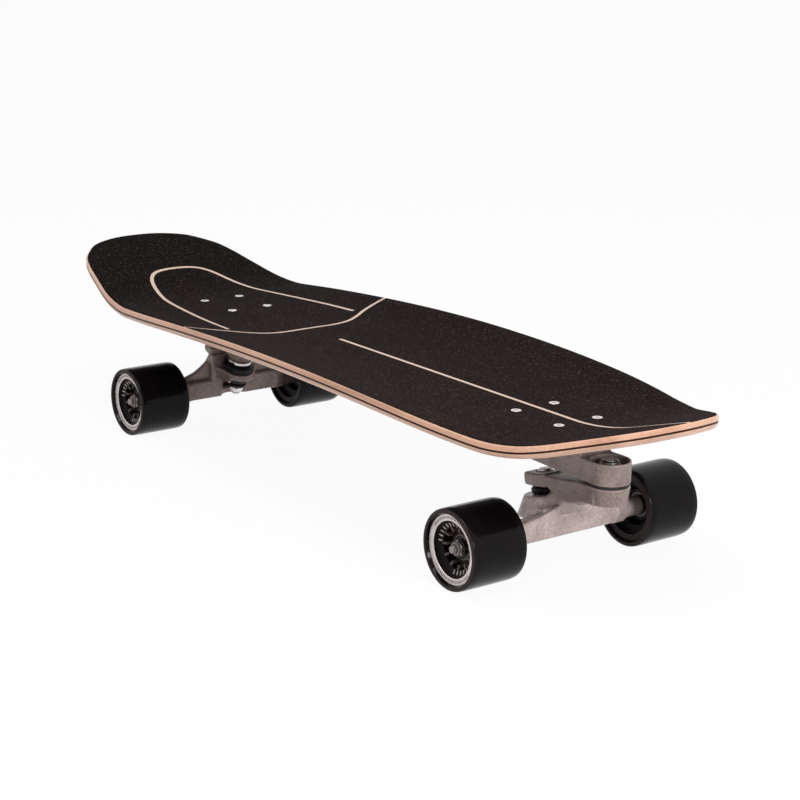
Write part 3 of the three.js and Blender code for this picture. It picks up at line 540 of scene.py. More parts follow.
class Finishes:
    """Every finish of the board, each made once."""

    PALE_UPPER = Veneer(
        "maple_upper", Slot.MAPLE, (240, 194, 166), (226, 176, 148), (190, 138, 110), 3, 4.7, (212, 186, 168),
        (60, 32, 22),
    )
    PALE_LOWER = Veneer(
        "maple_lower", Slot.MAPLE, (226, 190, 168), (214, 174, 152), (184, 140, 118), 3, 4.2, (184, 140, 118),
        (30, 24, 23),
    )
    DYED = Veneer(
        "maple_dyed", Slot.DARK_MAPLE, (66, 32, 17), (50, 24, 12), (32, 14, 8), 1, 1.6, (32, 14, 8),
        (32, 14, 8), coat=0, gloss=0.15,
    )
    # The grip's darkest colour serves both random smudges and painted shade toward the tail.
    GRIP = GritPaper("grip_paper", Slot.GRIP, (23, 14, 13), (40, 27, 24), (120, 104, 96), (6, 4, 4), 0.42)
    CAST = Metal(
        "cast_aluminium_blasted", Slot.CAST, (156, 138, 133), (124, 108, 103), 0.36, 0.15, 0.5, 0.12, 0.4,
        0.1, 1.4, gloss=0.25,
    )
    # A lighter copy of the same cast aluminium: painted light, for the front hanger.
    CAST_PAINTED_LIT = Metal(
        "cast_aluminium_painted_lit", Slot.CAST, (206, 188, 183), (172, 154, 149), 0.34, 0.2, 0.5, 0.12, 0.4,
        0.1, 1.2, gloss=0.3,
    )
    # Another lighter copy of the same cast aluminium: painted light, for the rear hanger.
    CAST_REAR_PAINTED_LIT = Metal(
        "cast_aluminium_rear_painted_lit", Slot.CAST, (168, 150, 145), (132, 116, 111), 0.36, 0.2, 0.5, 0.12, 0.4,
        0.1, 1.4, gloss=0.25,
    )
    # The zinc plate carries painted shade in its concave corners and recesses.
    ZINC = Metal("zinc_plate", Slot.ZINC, (210, 204, 204), (184, 177, 177), 0.24, 1.0, 0.9, 0.02, cavity=0.95)
    # A dark copy of the zinc plate: painted shade on the axle and its nuts, with painted highlights on their
    # edges.
    NUT_STEEL_PAINTED_SHADE = Metal("nut_steel_painted_shade", Slot.ZINC, (80, 73, 73), (56, 51, 51), 0.3, 0.6, 0.7, 0.03, edge=2.0)
    # A dark copy of the bearing steel: painted shade on the bearing races and the slide rings.
    STEEL_PAINTED_SHADE = Metal("steel_painted_shade", Slot.STEEL, (78, 72, 72), (52, 48, 48), 0.32, 1.0, 0.7, 0.03)
    # A dark copy of the zinc plate: painted shade on the lower cup washer.
    ZINC_PAINTED_SHADE = Metal("zinc_painted_shade", Slot.ZINC, (60, 55, 55), (42, 38, 38), 0.35, 1.0, 0.7, 0.03)
    STEEL = Metal("ground_steel", Slot.STEEL, (196, 196, 200), (172, 172, 178), 0.2, 1.0, 0.6, 0.015)
    SPRING = Metal("spring_wire", Slot.SPRING, (143, 144, 148), (110, 110, 116), 0.3, 1.0, 0.5, 0.02)
    URETHANE = Polymer("black_urethane", Slot.URETHANE, (11, 7, 8), (17, 12, 13), 0.1, 0.0, 0.5, 0.012, 0.12,
                       face=(50, 40, 40))
    PLASTIC = Polymer("core_plastic", Slot.PLASTIC, (11, 7, 7), (19, 13, 13), 0.4, 0.0, 0.35, 0.06, 0.1, 0.7)
    # A lighter copy of the core plastic: painted light on the ribs between the pockets.
    RIB_PAINTED_LIT = Polymer(
        "core_rib_plastic_painted_lit", Slot.PLASTIC, (44, 37, 37), (58, 49, 49), 0.4, 0.0, 0.35, 0.06, 0.2, 0.5,
    )
    BUSHING = Polymer("black_bushing", Slot.BUSHING, (17, 14, 15), (27, 23, 24), 0.42, 0.0, 0.4, 0.04, 0.2)
    SHIELD = Polymer("bearing_shield", Slot.STEEL, (30, 28, 30), (44, 40, 42), 0.4, 0.0, 0.4, 0.03, 0.3)
    PRINT = PrintedRing("silver_print", Slot.URETHANE, (238, 228, 228), (196, 184, 184))
    BARS = PrintedRing("cream_print", Slot.PLASTIC, (196, 182, 178), (150, 136, 132))
    INK = PrintedRing("dark_print", Slot.URETHANE, (46, 38, 38), (30, 24, 24))

    _made: ClassVar[dict[str, bpy.types.Material]] = {}

    @classmethod
    def get(cls, finish: Finish) -> bpy.types.Material:
        """Give a finish's material, building it the first time."""
        if finish.name not in cls._made:
            cls._made[finish.name] = finish.material()
        return cls._made[finish.name]


# Mesh work


@dataclass
class Shell:
    """A closed skin in millimetres."""

    points: np.ndarray
    faces: list[tuple[int, ...]]

    def moved(self, matrix: Matrix) -> "Shell":
        """Carry the skin by a matrix in millimetres.

        Args:
            matrix: The move.

        Returns:
            The moved skin.
        """
        m = np.array(matrix, float)
        return Shell(self.points @ m[:3, :3].T + m[:3, 3], self.faces)

    def mesh(self, name: str) -> bpy.types.Mesh:
        """Make a mesh in metres, with every face turned outward.

        Args:
            name: The mesh's name.

        Returns:
            The mesh.
        """
        mesh = bpy.data.meshes.new(name)
        mesh.from_pydata((self.points * MILLIMETRE).tolist(), [], self.faces)
        work = bmesh.new()
        work.from_mesh(mesh)
        bmesh.ops.remove_doubles(work, verts=work.verts, dist=0.002 * MILLIMETRE)
        bmesh.ops.dissolve_degenerate(work, edges=work.edges, dist=0.001 * MILLIMETRE)
        bmesh.ops.recalc_face_normals(work, faces=work.faces)
        work.to_mesh(mesh)
        work.free()
        return mesh


def together(*shells: Shell) -> Shell:
    """Put skins that don't touch into one.

    Args:
        *shells: The skins.

    Returns:
        The joined skin.
    """
    faces: list[tuple[int, ...]] = []
    start = 0
    for shell in shells:
        faces += [tuple(i + start for i in face) for face in shell.faces]
        start += len(shell.points)
    return Shell(np.concatenate([s.points for s in shells]), faces)


def revolved(profile: Sequence[Pair], sides: int) -> Shell:
    """Turn a profile about z; one off the axis is closed on itself.

    Args:
        profile: Radius and height of each point.
        sides: How many sides the skin has.

    Returns:
        The skin.
    """
    turns = np.arange(sides) * 2 * math.pi / sides
    rings = [np.stack([r * np.cos(turns), r * np.sin(turns), np.full(sides, z)], 1) for r, z in profile]
    open_ended = profile[0][0] == 0
    steps = len(profile) - 1 if open_ended else len(profile)
    faces = []
    for i in range(steps):
        j = (i + 1) % len(profile)
        for k in range(sides):
            n = (k + 1) % sides
            faces.append((i * sides + k, i * sides + n, j * sides + n, j * sides + k))
    return Shell(np.concatenate(rings), faces)


def prism(corners: Sequence[Pair], low: float, high: float) -> Shell:
    """Raise an outline from low to high.

    Args:
        corners: The outline's corners.
        low: Height of the lower face.
        high: Height of the upper face.

    Returns:
        The skin.
    """
    count = len(corners)
    points = [(x, y, z) for z in (low, high) for x, y in corners]
    faces: list[tuple[int, ...]] = [tuple(range(count))[::-1], tuple(range(count, 2 * count))]
    for i in range(count):
        j = (i + 1) % count
        faces.append((i, j, j + count, i + count))
    return Shell(np.array(points, float), faces)


def rounded(profile: Sequence[tuple[float, float, float]], steps: int = 5) -> list[Pair]:
    """Round the corners of an open profile.

    Args:
        profile: Radius, height and corner radius of each point.
        steps: Points on each rounded corner.

    Returns:
        The profile with its corners as short arcs.
    """
    result: list[Pair] = []
    for i, (u, v, corner) in enumerate(profile):
        if corner <= 0 or i in (0, len(profile) - 1):
            result.append((u, v))
            continue
        here = Vector((u, v))
        back = Vector(profile[i - 1][:2]) - here
        ahead = Vector(profile[i + 1][:2]) - here
        half = back.angle(ahead) / 2
        reach = min(corner / math.tan(half), 0.48 * back.length, 0.48 * ahead.length)
        radius = reach * math.tan(half)
        centre = here + (back.normalized() + ahead.normalized()).normalized() * radius / math.sin(half)
        start = here + back.normalized() * reach - centre
        end = here + ahead.normalized() * reach - centre
        sweep = start.angle_signed(end)
        for step in range(steps + 1):
            arm = start.copy()
            arm.rotate(Matrix.Rotation(-sweep * step / steps, 2))
            result.append(tuple(centre + arm))
    return result


def rod(radius: float, low: float, high: float) -> Shell:
    """A plain round rod on the axis."""
    return revolved([(0, low), (radius, low), (radius, high), (0, high)], NUT_SIDES)


def thread(low: float, high: float, radius: float, pitch: float) -> list[Pair]:
    """Trace the rings of a thread.

    Args:
        low: Where it starts.
        high: Where it ends.
        radius: Its outer radius.
        pitch: About how far its rings are apart.

    Returns:
        The profile's points.
    """
    count = max(int((high - low) / pitch), 1)
    step = (high - low) / count
    points = []
    for i in range(count):
        points += [(radius - 0.55 * step, low + i * step), (radius, low + (i + 0.5) * step)]
    return [*points, (radius - 0.55 * step, high)]
def placed(name: str, data: bpy.types.ID) -> bpy.types.Object:
    """Make an object and put it into the scene."""
    thing = bpy.data.objects.new(name, data)
    bpy.context.scene.collection.objects.link(thing)
    return thing


def carve(target: bpy.types.Object, tool: Shell, how: Cut) -> None:
    """Cut or join a tool skin into a piece, and keep only the result.

    Args:
        target: The piece.
        tool: The tool's skin.
        how: What the tool does.
    """
    other = placed("tool", tool.mesh("tool"))
    step = target.modifiers.new("carve", "BOOLEAN")
    step.object = other
    step.operation = how.value
    step.solver = "MANIFOLD"
    bpy.context.view_layer.update()
    graph = bpy.context.evaluated_depsgraph_get()
    result = bpy.data.meshes.new_from_object(target.evaluated_get(graph))
    target.modifiers.clear()
    old = target.data
    target.data = result
    bpy.data.meshes.remove(old)
    bpy.data.objects.remove(other)


Cuts = Sequence[tuple[Shell, Cut]]


@dataclass
class Piece:
    """A named piece: its skin, finish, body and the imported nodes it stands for."""

    name: str
    skin: Shell
    finish: Finish
    body: str
    nodes: tuple[str, ...] = ()
    move: Matrix = field(default_factory=Matrix)
    carved: Cuts = ()
    crease: float = 32.0

    def build(self) -> bpy.types.Object:
        """Make the piece where its move puts it, carve it, dress it and set it on its body.

        Returns:
            The piece's object.
        """
        thing = placed(self.name, self.skin.moved(self.move).mesh(self.name))
        for tool, how in self.carved:
            carve(thing, tool.moved(self.move), how)
        mesh = thing.data
        mesh.materials.clear()
        mesh.materials.append(Finishes.get(self.finish))
        mesh.shade_smooth()
        mesh.set_sharp_from_angle(angle=math.radians(self.crease))
        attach(thing, self.body)
        if self.nodes:
            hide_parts(*self.nodes)
        LOG.info("%s: %d faces on %s", self.name, len(mesh.polygons), self.body)
        return thing


# Castings, as distance fields on a grid


def polygon(u: Field, v: Field, corners: Sequence[Pair]) -> Field:
    """Measure the distance to a polygon's edge, negative inside.

    Args:
        u: First place of each point.
        v: Second place of each point.
        corners: The polygon's corners.

    Returns:
        The distance.
    """
    u, v = np.broadcast_arrays(u, v)
    nearest = np.full(u.shape, 1e9, np.float32)
    inside = np.zeros(u.shape, bool)
    for (au, av), (bu, bv) in zip(corners, [*corners[1:], corners[0]]):
        eu, ev = bu - au, bv - av
        wu, wv = u - au, v - av
        share = np.clip((wu * eu + wv * ev) / (eu * eu + ev * ev), 0, 1)
        nearest = np.minimum(nearest, (wu - eu * share) ** 2 + (wv - ev * share) ** 2)
        if ev:
            inside ^= ((av > v) != (bv > v)) & (wu < wv * (eu / ev))
    return np.where(inside, -1, 1) * np.sqrt(nearest)


def raised(flat: Field, across: Field, low: float, high: float, edge: float = 0.0) -> Field:
    """Raise a flat distance field to a block with rounded edges.

    Args:
        flat: Distance to the outline.
        across: Place across the outline's plane.
        low: Where the block starts.
        high: Where it ends.
        edge: Radius of the edges.

    Returns:
        The block's distance.
    """
    first = flat + edge
    second = np.abs(across - (low + high) / 2) - (high - low) / 2 + edge
    outside = np.hypot(np.maximum(first, 0), np.maximum(second, 0))
    return np.minimum(np.maximum(first, second), 0) + outside - edge


def melted(first: Field, second: Field, fillet: float) -> Field:
    """Join two fields with a fillet between them.

    Args:
        first: One field.
        second: The other.
        fillet: Reach of the fillet.

    Returns:
        The joined field.
    """
    least = np.minimum(first, second)
    if fillet <= 0:
        return least
    reach = np.maximum(fillet - np.abs(first - second), 0) / fillet
    return least - reach * reach * fillet / 4


class Casting:
    """A sand-cast body on a grid: forms are joined with fillets and cut, then all edges are softened."""

    def __init__(self, low: Triple, high: Triple, voxel: float = 0.7, softening: int = 1) -> None:
        """Lay out an empty grid.

        Args:
            low: The grid's lowest corner.
            high: The grid's highest corner.
            voxel: The grid's step.
            softening: How many times the edges are softened.
        """
        axes = [np.arange(a, b + voxel, voxel, dtype=np.float32) for a, b in zip(low, high)]
        self.low = np.array(low, float)
        self.voxel = voxel
        self.softening = softening
        self.x = axes[0][:, None, None]
        self.y = axes[1][None, :, None]
        self.z = axes[2][None, None, :]
        self.field = np.full([len(a) for a in axes], 1e3, np.float32)

    def turned(self, place: Pair, angle: float) -> tuple[Field, Field]:
        """Read the grid in a frame that is moved and turned about y.

        Args:
            place: The frame's origin in x and z.
            angle: How far the frame is turned about y.

        Returns:
            The frame's own x and z at each point.
        """
        dx, dz = self.x - place[0], self.z - place[1]
        cos, sin = math.cos(angle), math.sin(angle)
        return dx * cos - dz * sin, dx * sin + dz * cos

    def add(self, form: Field, fillet: float = 0.0) -> None:
        """Join a form to the casting, with a fillet."""
        self.field = melted(self.field, form, fillet)

    def cut(self, form: Field, fillet: float = 0.0) -> None:
        """Take a form out of the casting, its rim eased by the fillet."""
        self.field = -melted(-self.field, form, fillet)

    def keep(self, form: Field) -> None:
        """Keep only what lies in the form."""
        self.field = np.maximum(self.field, form)

    def skin(self) -> Shell:
        """Soften the edges and draw the casting's skin.

        Returns:
            The skin, in the grid's own frame.
        """
        body = np.clip(self.field, -4 * self.voxel, 4 * self.voxel)
        for _ in range(self.softening):
            for axis in range(3):
                lane = np.moveaxis(body, axis, 0)
                lane[1:-1] = (lane[:-2] + 2 * lane[1:-1] + lane[2:]) / 4
        grid = openvdb.FloatGrid(background=4 * self.voxel)
        grid.copyFromArray(np.ascontiguousarray(body, dtype=np.float32))
        grid.transform = openvdb.createLinearTransform(voxelSize=self.voxel)
        points, quads = grid.convertToQuads()
        return Shell(points + self.low, [tuple(q) for q in quads.tolist()])


# Deck


@dataclass
class DeckForm:
    """The deck's outline and the height of its bent faces."""

    length: float = 865
    width: float = 245
    underside: float = 113.249
    flat_width: float = 46
    concave_rise: float = 14.5
    concave_reach: float = 304
    concave_centre: float = 42.5
    end_concave: float = 1.1
    nose_kick: Triple = (301.5, 230, 0.306)
    tail_kick: Triple = (262.5, 222, 0.277)
    steps: int = 8
    shares: tuple[Pair, ...] = (
        (1, 0), (0.995, 0.127), (0.977, 0.316), (0.94, 0.463), (0.903, 0.564), (0.866, 0.659), (0.829, 0.735),
        (0.755, 0.845), (0.692, 0.899), (0.623, 0.938), (0.554, 0.964), (0.415, 0.99), (0.24, 1), (0.068, 1),
        (-0.14, 0.986), (-0.348, 0.958), (-0.487, 0.93), (-0.625, 0.875), (-0.718, 0.829), (-0.81, 0.761),
        (-0.857, 0.723), (-0.903, 0.666), (-0.94, 0.572), (-0.972, 0.451), (-0.995, 0.224), (-1, 0),
    )

    def height(self, x: Field, y: Field) -> Field:
        """Height of the deck's shape over its flat middle.

        Args:
            x: Places along the board.
            y: Places across the board.

        Returns:
            The height at each place.
        """
        nose, tail = self.nose_kick, self.tail_kick
        rise = self._kick(x - nose[0], nose[1], nose[2]) + self._kick(-tail[0] - x, tail[1], tail[2])
        along = np.minimum(np.abs(x - self.concave_centre) / self.concave_reach, 1) ** 2
        rail = np.maximum(np.abs(y) - self.flat_width / 2, 0) / (self.width / 2 - self.flat_width / 2)
        return rise + (self.concave_rise * (1 - along) + self.end_concave * along) * rail**2

    @staticmethod
    def _kick(distance: Field, radius: float, slope: float) -> Field:
        """Rise of a bent end at a distance past its start."""
        bend = np.clip(distance, 0, radius * slope)
        return bend * bend / (2 * radius) + np.maximum(distance - radius * slope, 0) * slope

    def half_outline(self, inset: float) -> np.ndarray:
        """Trace the left half of the outline from nose to tail.

        Args:
            inset: How far the line is drawn in from the edge.

        Returns:
            The points, as x and y.
        """
        half = np.array(self.shares) * (self.length / 2, self.width / 2)
        loop = np.concatenate([half, half[-2:0:-1] * (1, -1)])
        line = smooth_line(loop, self.steps, closed=True)
        along = np.roll(line, -1, 0) - np.roll(line, 1, 0)
        along /= np.linalg.norm(along, axis=1)[:, None]
        inward = np.stack([-along[:, 1], along[:, 0]], 1)
        points = (line + inward * inset)[: (len(half) - 1) * self.steps + 1]
        points[[0, -1], 1] = 0
        return points


def smooth_line(knots: np.ndarray, steps: int, closed: bool = False) -> np.ndarray:
    """Draw an even curve through knots, its speed tied to the root of their distances.

    Args:
        knots: The points to pass.
        steps: Points on each stretch.
        closed: Whether the line ends where it starts.

    Returns:
        The line's points.
    """
    count = len(knots)
    if closed:
        run = np.concatenate([knots[-1:], knots, knots[:2]])
        stretches = count
    else:
        run = np.concatenate([2 * knots[:1] - knots[1:2], knots, 2 * knots[-1:] - knots[-2:-1]])
        stretches = count - 1
    line = []
    for i in range(stretches):
        a, b, c, d = run[i : i + 4]
        pairs = ((a, b), (b, c), (c, d))
        before, here, after = (max(math.sqrt(np.linalg.norm(q - p)), 1e-4) for p, q in pairs)
        start = ((b - a) / before - (c - a) / (before + here) + (c - b) / here) * here
        end = ((c - b) / here - (d - b) / (here + after) + (d - c) / after) * here
        for step in range(steps):
            t = step / steps
            square, cube = -3 * b + 3 * c - 2 * start - end, 2 * b - 2 * c + start + end
            line.append(b + start * t + square * t * t + cube * t**3)
    if not closed:
        line.append(knots[-1])
    return np.array(line)


@dataclass
class Ply:
    """One bent layer between two heights over the deck's underside, with its rail rounded."""

    HEIGHT_LAYER: ClassVar[str] = "ply_height"

    form: DeckForm
    low: float
    high: float
    lower_round: float
    upper_round: float
    total: float
    inset: float = 0.0
    rings: int = 9
    lanes: int = 26

    def edge_inset(self, height: float) -> float:
        """How far the rounded rail lies inside the outline at a height.

        Args:
            height: The height over the deck's underside.

        Returns:
            The inset.
        """
        drawn = self.inset
        if height < self.lower_round:
            drawn += self.lower_round - math.sqrt(self.lower_round**2 - (self.lower_round - height) ** 2)
        over = height - (self.total - self.upper_round)
        if over > 0:
            drawn += self.upper_round - math.sqrt(max(self.upper_round**2 - over**2, 0))
        return drawn

    def skin(self) -> Shell:
        """Lay the layer out station by station.

        Returns:
            The layer's skin.
        """
        eased = (1 - np.cos(np.linspace(0, math.pi, self.rings))) / 2
        heights = self.low + (self.high - self.low) * eased
        edges = [self.form.half_outline(self.edge_inset(h)) for h in heights]
        across = np.linspace(-1, 1, self.lanes + 1)
        loops = []
        for station in range(len(edges[0])):
            right = [(e[station, 0], -e[station, 1], h) for e, h in zip(edges, heights)]
            left = [(x, -y, h) for x, y, h in right]
            bottom = [(left[0][0], left[0][1] * lane, heights[0]) for lane in across]
            top = [(left[-1][0], left[-1][1] * lane, heights[-1]) for lane in across[::-1]]
            loops.append(bottom + left[1:-1] + top + right[-2:0:-1])
        grid = np.array(loops, float)
        grid[:, :, 2] += self.form.underside + self.form.height(grid[:, :, 0], grid[:, :, 1])
        stations, count = grid.shape[:2]
        faces = []
        for i in range(stations - 1):
            for j in range(count):
                k = (j + 1) % count
                faces.append((i * count + j, (i + 1) * count + j, (i + 1) * count + k, i * count + k))
        return Shell(grid.reshape(-1, 3), faces)


def mark_heights(thing: bpy.types.Object, form: DeckForm, start: float) -> None:
    """Keep each point's height in its layer on the mesh, for the lines between veneers.

    Args:
        thing: The layer's piece.
        form: The deck's form.
        start: Height of the layer's underside over the deck's.
    """
    mesh = thing.data
    points = np.zeros(len(mesh.vertices) * 3, np.float32)
    mesh.vertices.foreach_get("co", points)
    x, y, z = points.reshape(-1, 3).T / MILLIMETRE
    layer = mesh.attributes.new(Ply.HEIGHT_LAYER, "FLOAT", "POINT")
    layer.data.foreach_set("value", (z - form.underside - form.height(x, y) - start).astype(np.float32))


@dataclass
class Stripes:
    """Slits in the grip that show bare wood: across the deck, round the tail pad and down the middle."""

    width: float = 4
    cross_line: tuple[Pair, ...] = (
        (-86.5, 0), (-86.5, 33), (-89.3, 49), (-97, 64), (-107.5, 80), (-118, 103), (-124, 122.5),
        (-133, 142.5),
    )
    middle_tail_x: float = -33.5
    nose_x: float = 472.5
    pad: tuple[Pair, ...] = ((-115.5, 73), (-172, 68.5), (-290, 49), (-333, 34.5), (-344.5, 20))
    steps: int = 10

    def cross(self) -> np.ndarray:
        """Trace the line across the deck, bent back toward the rails.

        Returns:
            The points from the right rail to the left.
        """
        half = list(self.cross_line)
        return smooth_line(np.array([(x, -y) for x, y in half[:0:-1]] + half), self.steps)

    def pad_line(self) -> np.ndarray:
        """Trace the line round the tail pad, open toward the nose.

        Returns:
            The points from the right side round to the left.
        """
        knots = [(x, -y) for x, y in self.pad] + list(self.pad[::-1])
        return smooth_line(np.array(knots, float), self.steps)

    def middle(self) -> np.ndarray:
        """The line along the middle to the nose."""
        return np.array([(self.middle_tail_x, 0), (self.nose_x, 0)], float)

    def bands(self, low: float, high: float, width: float) -> list[Shell]:
        """Make upright bands along all the lines.

        Args:
            low: Height of their lower faces.
            high: Height of their upper faces.
            width: Their width.

        Returns:
            The bands' skins.
        """
        result = []
        for line in (self.cross(), self.pad_line(), self.middle()):
            ahead = np.concatenate([line[1:], line[-1:]]) - np.concatenate([line[:1], line[:-1]])
            ahead /= np.linalg.norm(ahead, axis=1)[:, None]
            side = np.stack([-ahead[:, 1], ahead[:, 0]], 1) * width / 2
            outline = np.concatenate([line + side, (line - side)[::-1]])
            result.append(prism([tuple(p) for p in outline], low, high))
        return result


@dataclass
class DeckBolt:
    """A countersunk bolt with a cross recess and a lock nut under the plate."""

    radius: float = 2.45
    head_radius: float = 4.4
    head_depth: float = 2.6
    hole_gap: float = 0.3
    nut_flat: float = 8
    nut_height: float = 5.5
    tail: float = 1
    plate: float = 6.5
    seat_gap: float = 0.25
    pitch: float = 0.8
    recess_reach: float = 2.7
    recess_half: float = 0.85
    recess_depth: float = 2.0
    def hole(self, top: float, underside: float) -> Shell:
        """The room for the bolt in the deck.

        Args:
            top: Height of the deck's upper face.
            underside: Height of its lower face.

        Returns:
            The tool's skin.
        """
        wide, sink = self.radius + self.hole_gap, self.head_radius + self.hole_gap
        return revolved([
            (0, underside - 20), (wide, underside - 20), (wide, top - self.head_depth - self.seat_gap),
            (sink, top), (sink, top + 20), (0, top + 20),
        ], THREAD_SIDES)

    def skin(self, top: float, underside: float) -> Shell:
        """The bolt with its nut.

        Args:
            top: Height of the grip at the bolt.
            underside: Height of the deck's underside.

        Returns:
            The skin.
        """
        nut_top = underside - self.plate - self.seat_gap
        end = nut_top - self.nut_height - self.tail
        shank = thread(end, nut_top + 2, self.radius, self.pitch)
        return revolved([
            (0, end), (self.radius - 0.9, end), *shank, (self.radius, nut_top + 2.5),
            (self.radius, top - self.head_depth), (self.head_radius - 0.05, top - 0.3),
            (self.head_radius, top - 0.12), (self.head_radius - 0.12, top), (0, top + 0.12),
        ], THREAD_SIDES)

    def recess(self, top: float) -> list[Shell]:
        """The cross recess, as two wedges.

        Args:
            top: Height of the head's upper face.

        Returns:
            The two wedges.
        """
        low, high = top - self.recess_depth, top + 2
        wedges = []
        for turn in (0.4, 0.4 + math.pi / 2):
            blade = prism([
                (-self.recess_reach, -self.recess_half), (self.recess_reach, -self.recess_half),
                (self.recess_reach, self.recess_half), (-self.recess_reach, self.recess_half),
            ], low, high)
            deep = blade.points[:, 2] < top
            blade.points[deep, 0] *= 0.45
            blade.points[deep, 1] *= 0.7
            wedges.append(blade.moved(Matrix.Rotation(turn, 4, "Z")))
        return wedges

    def nut(self, underside: float) -> tuple[Shell, Cuts]:
        """The lock nut under the plate, as hex_nut gives it."""
        high = underside - self.plate - self.seat_gap
        return hex_nut(self.nut_flat, high - self.nut_height, high, collar_below=True)


def hex_nut(flat: float, low: float, high: float, collar_below: bool = False) -> tuple[Shell, Cuts]:
    """Make a six-sided nut or bolt head with eased corners and a collar at one end.

    Args:
        flat: Width across flats.
        low: Height of its lower face.
        high: Height of its upper face.
        collar_below: Whether the collar is at the lower end.

    Returns:
        The six-sided body, and the cuts that ease its corners and add the collar.
    """
    reach = flat / math.sqrt(3)
    half = 0.47 * flat
    ease = reach - half
    share = 0.26 * (high - low)
    body_low, body_high = (low + share, high) if collar_below else (low, high - share)
    keep = revolved([
        (0, body_low), (half, body_low), (reach + 0.1, body_low + ease), (reach + 0.1, body_high - ease),
        (half, body_high), (0, body_high),
    ], NUT_SIDES)
    inner, outer = (body_low + 0.3, low) if collar_below else (body_high - 0.3, high)
    toward = math.copysign(1, outer - inner)
    collar = revolved([(0, inner), (half, inner), *[
        (r * flat, outer - toward * deep)
        for r, deep in ((0.455, 0.8), (0.4, 0.15), (0.36, 0), (0.33, 0), (0.31, 0.3))
    ], (0, outer - toward * 0.3)], NUT_SIDES)
    corners = [(reach * math.sin(k * math.pi / 3), reach * math.cos(k * math.pi / 3)) for k in range(6)]
    body = prism(corners[::-1], body_low, body_high)
    return body, ((keep, Cut.KEEP_SHARED), (collar, Cut.JOIN))


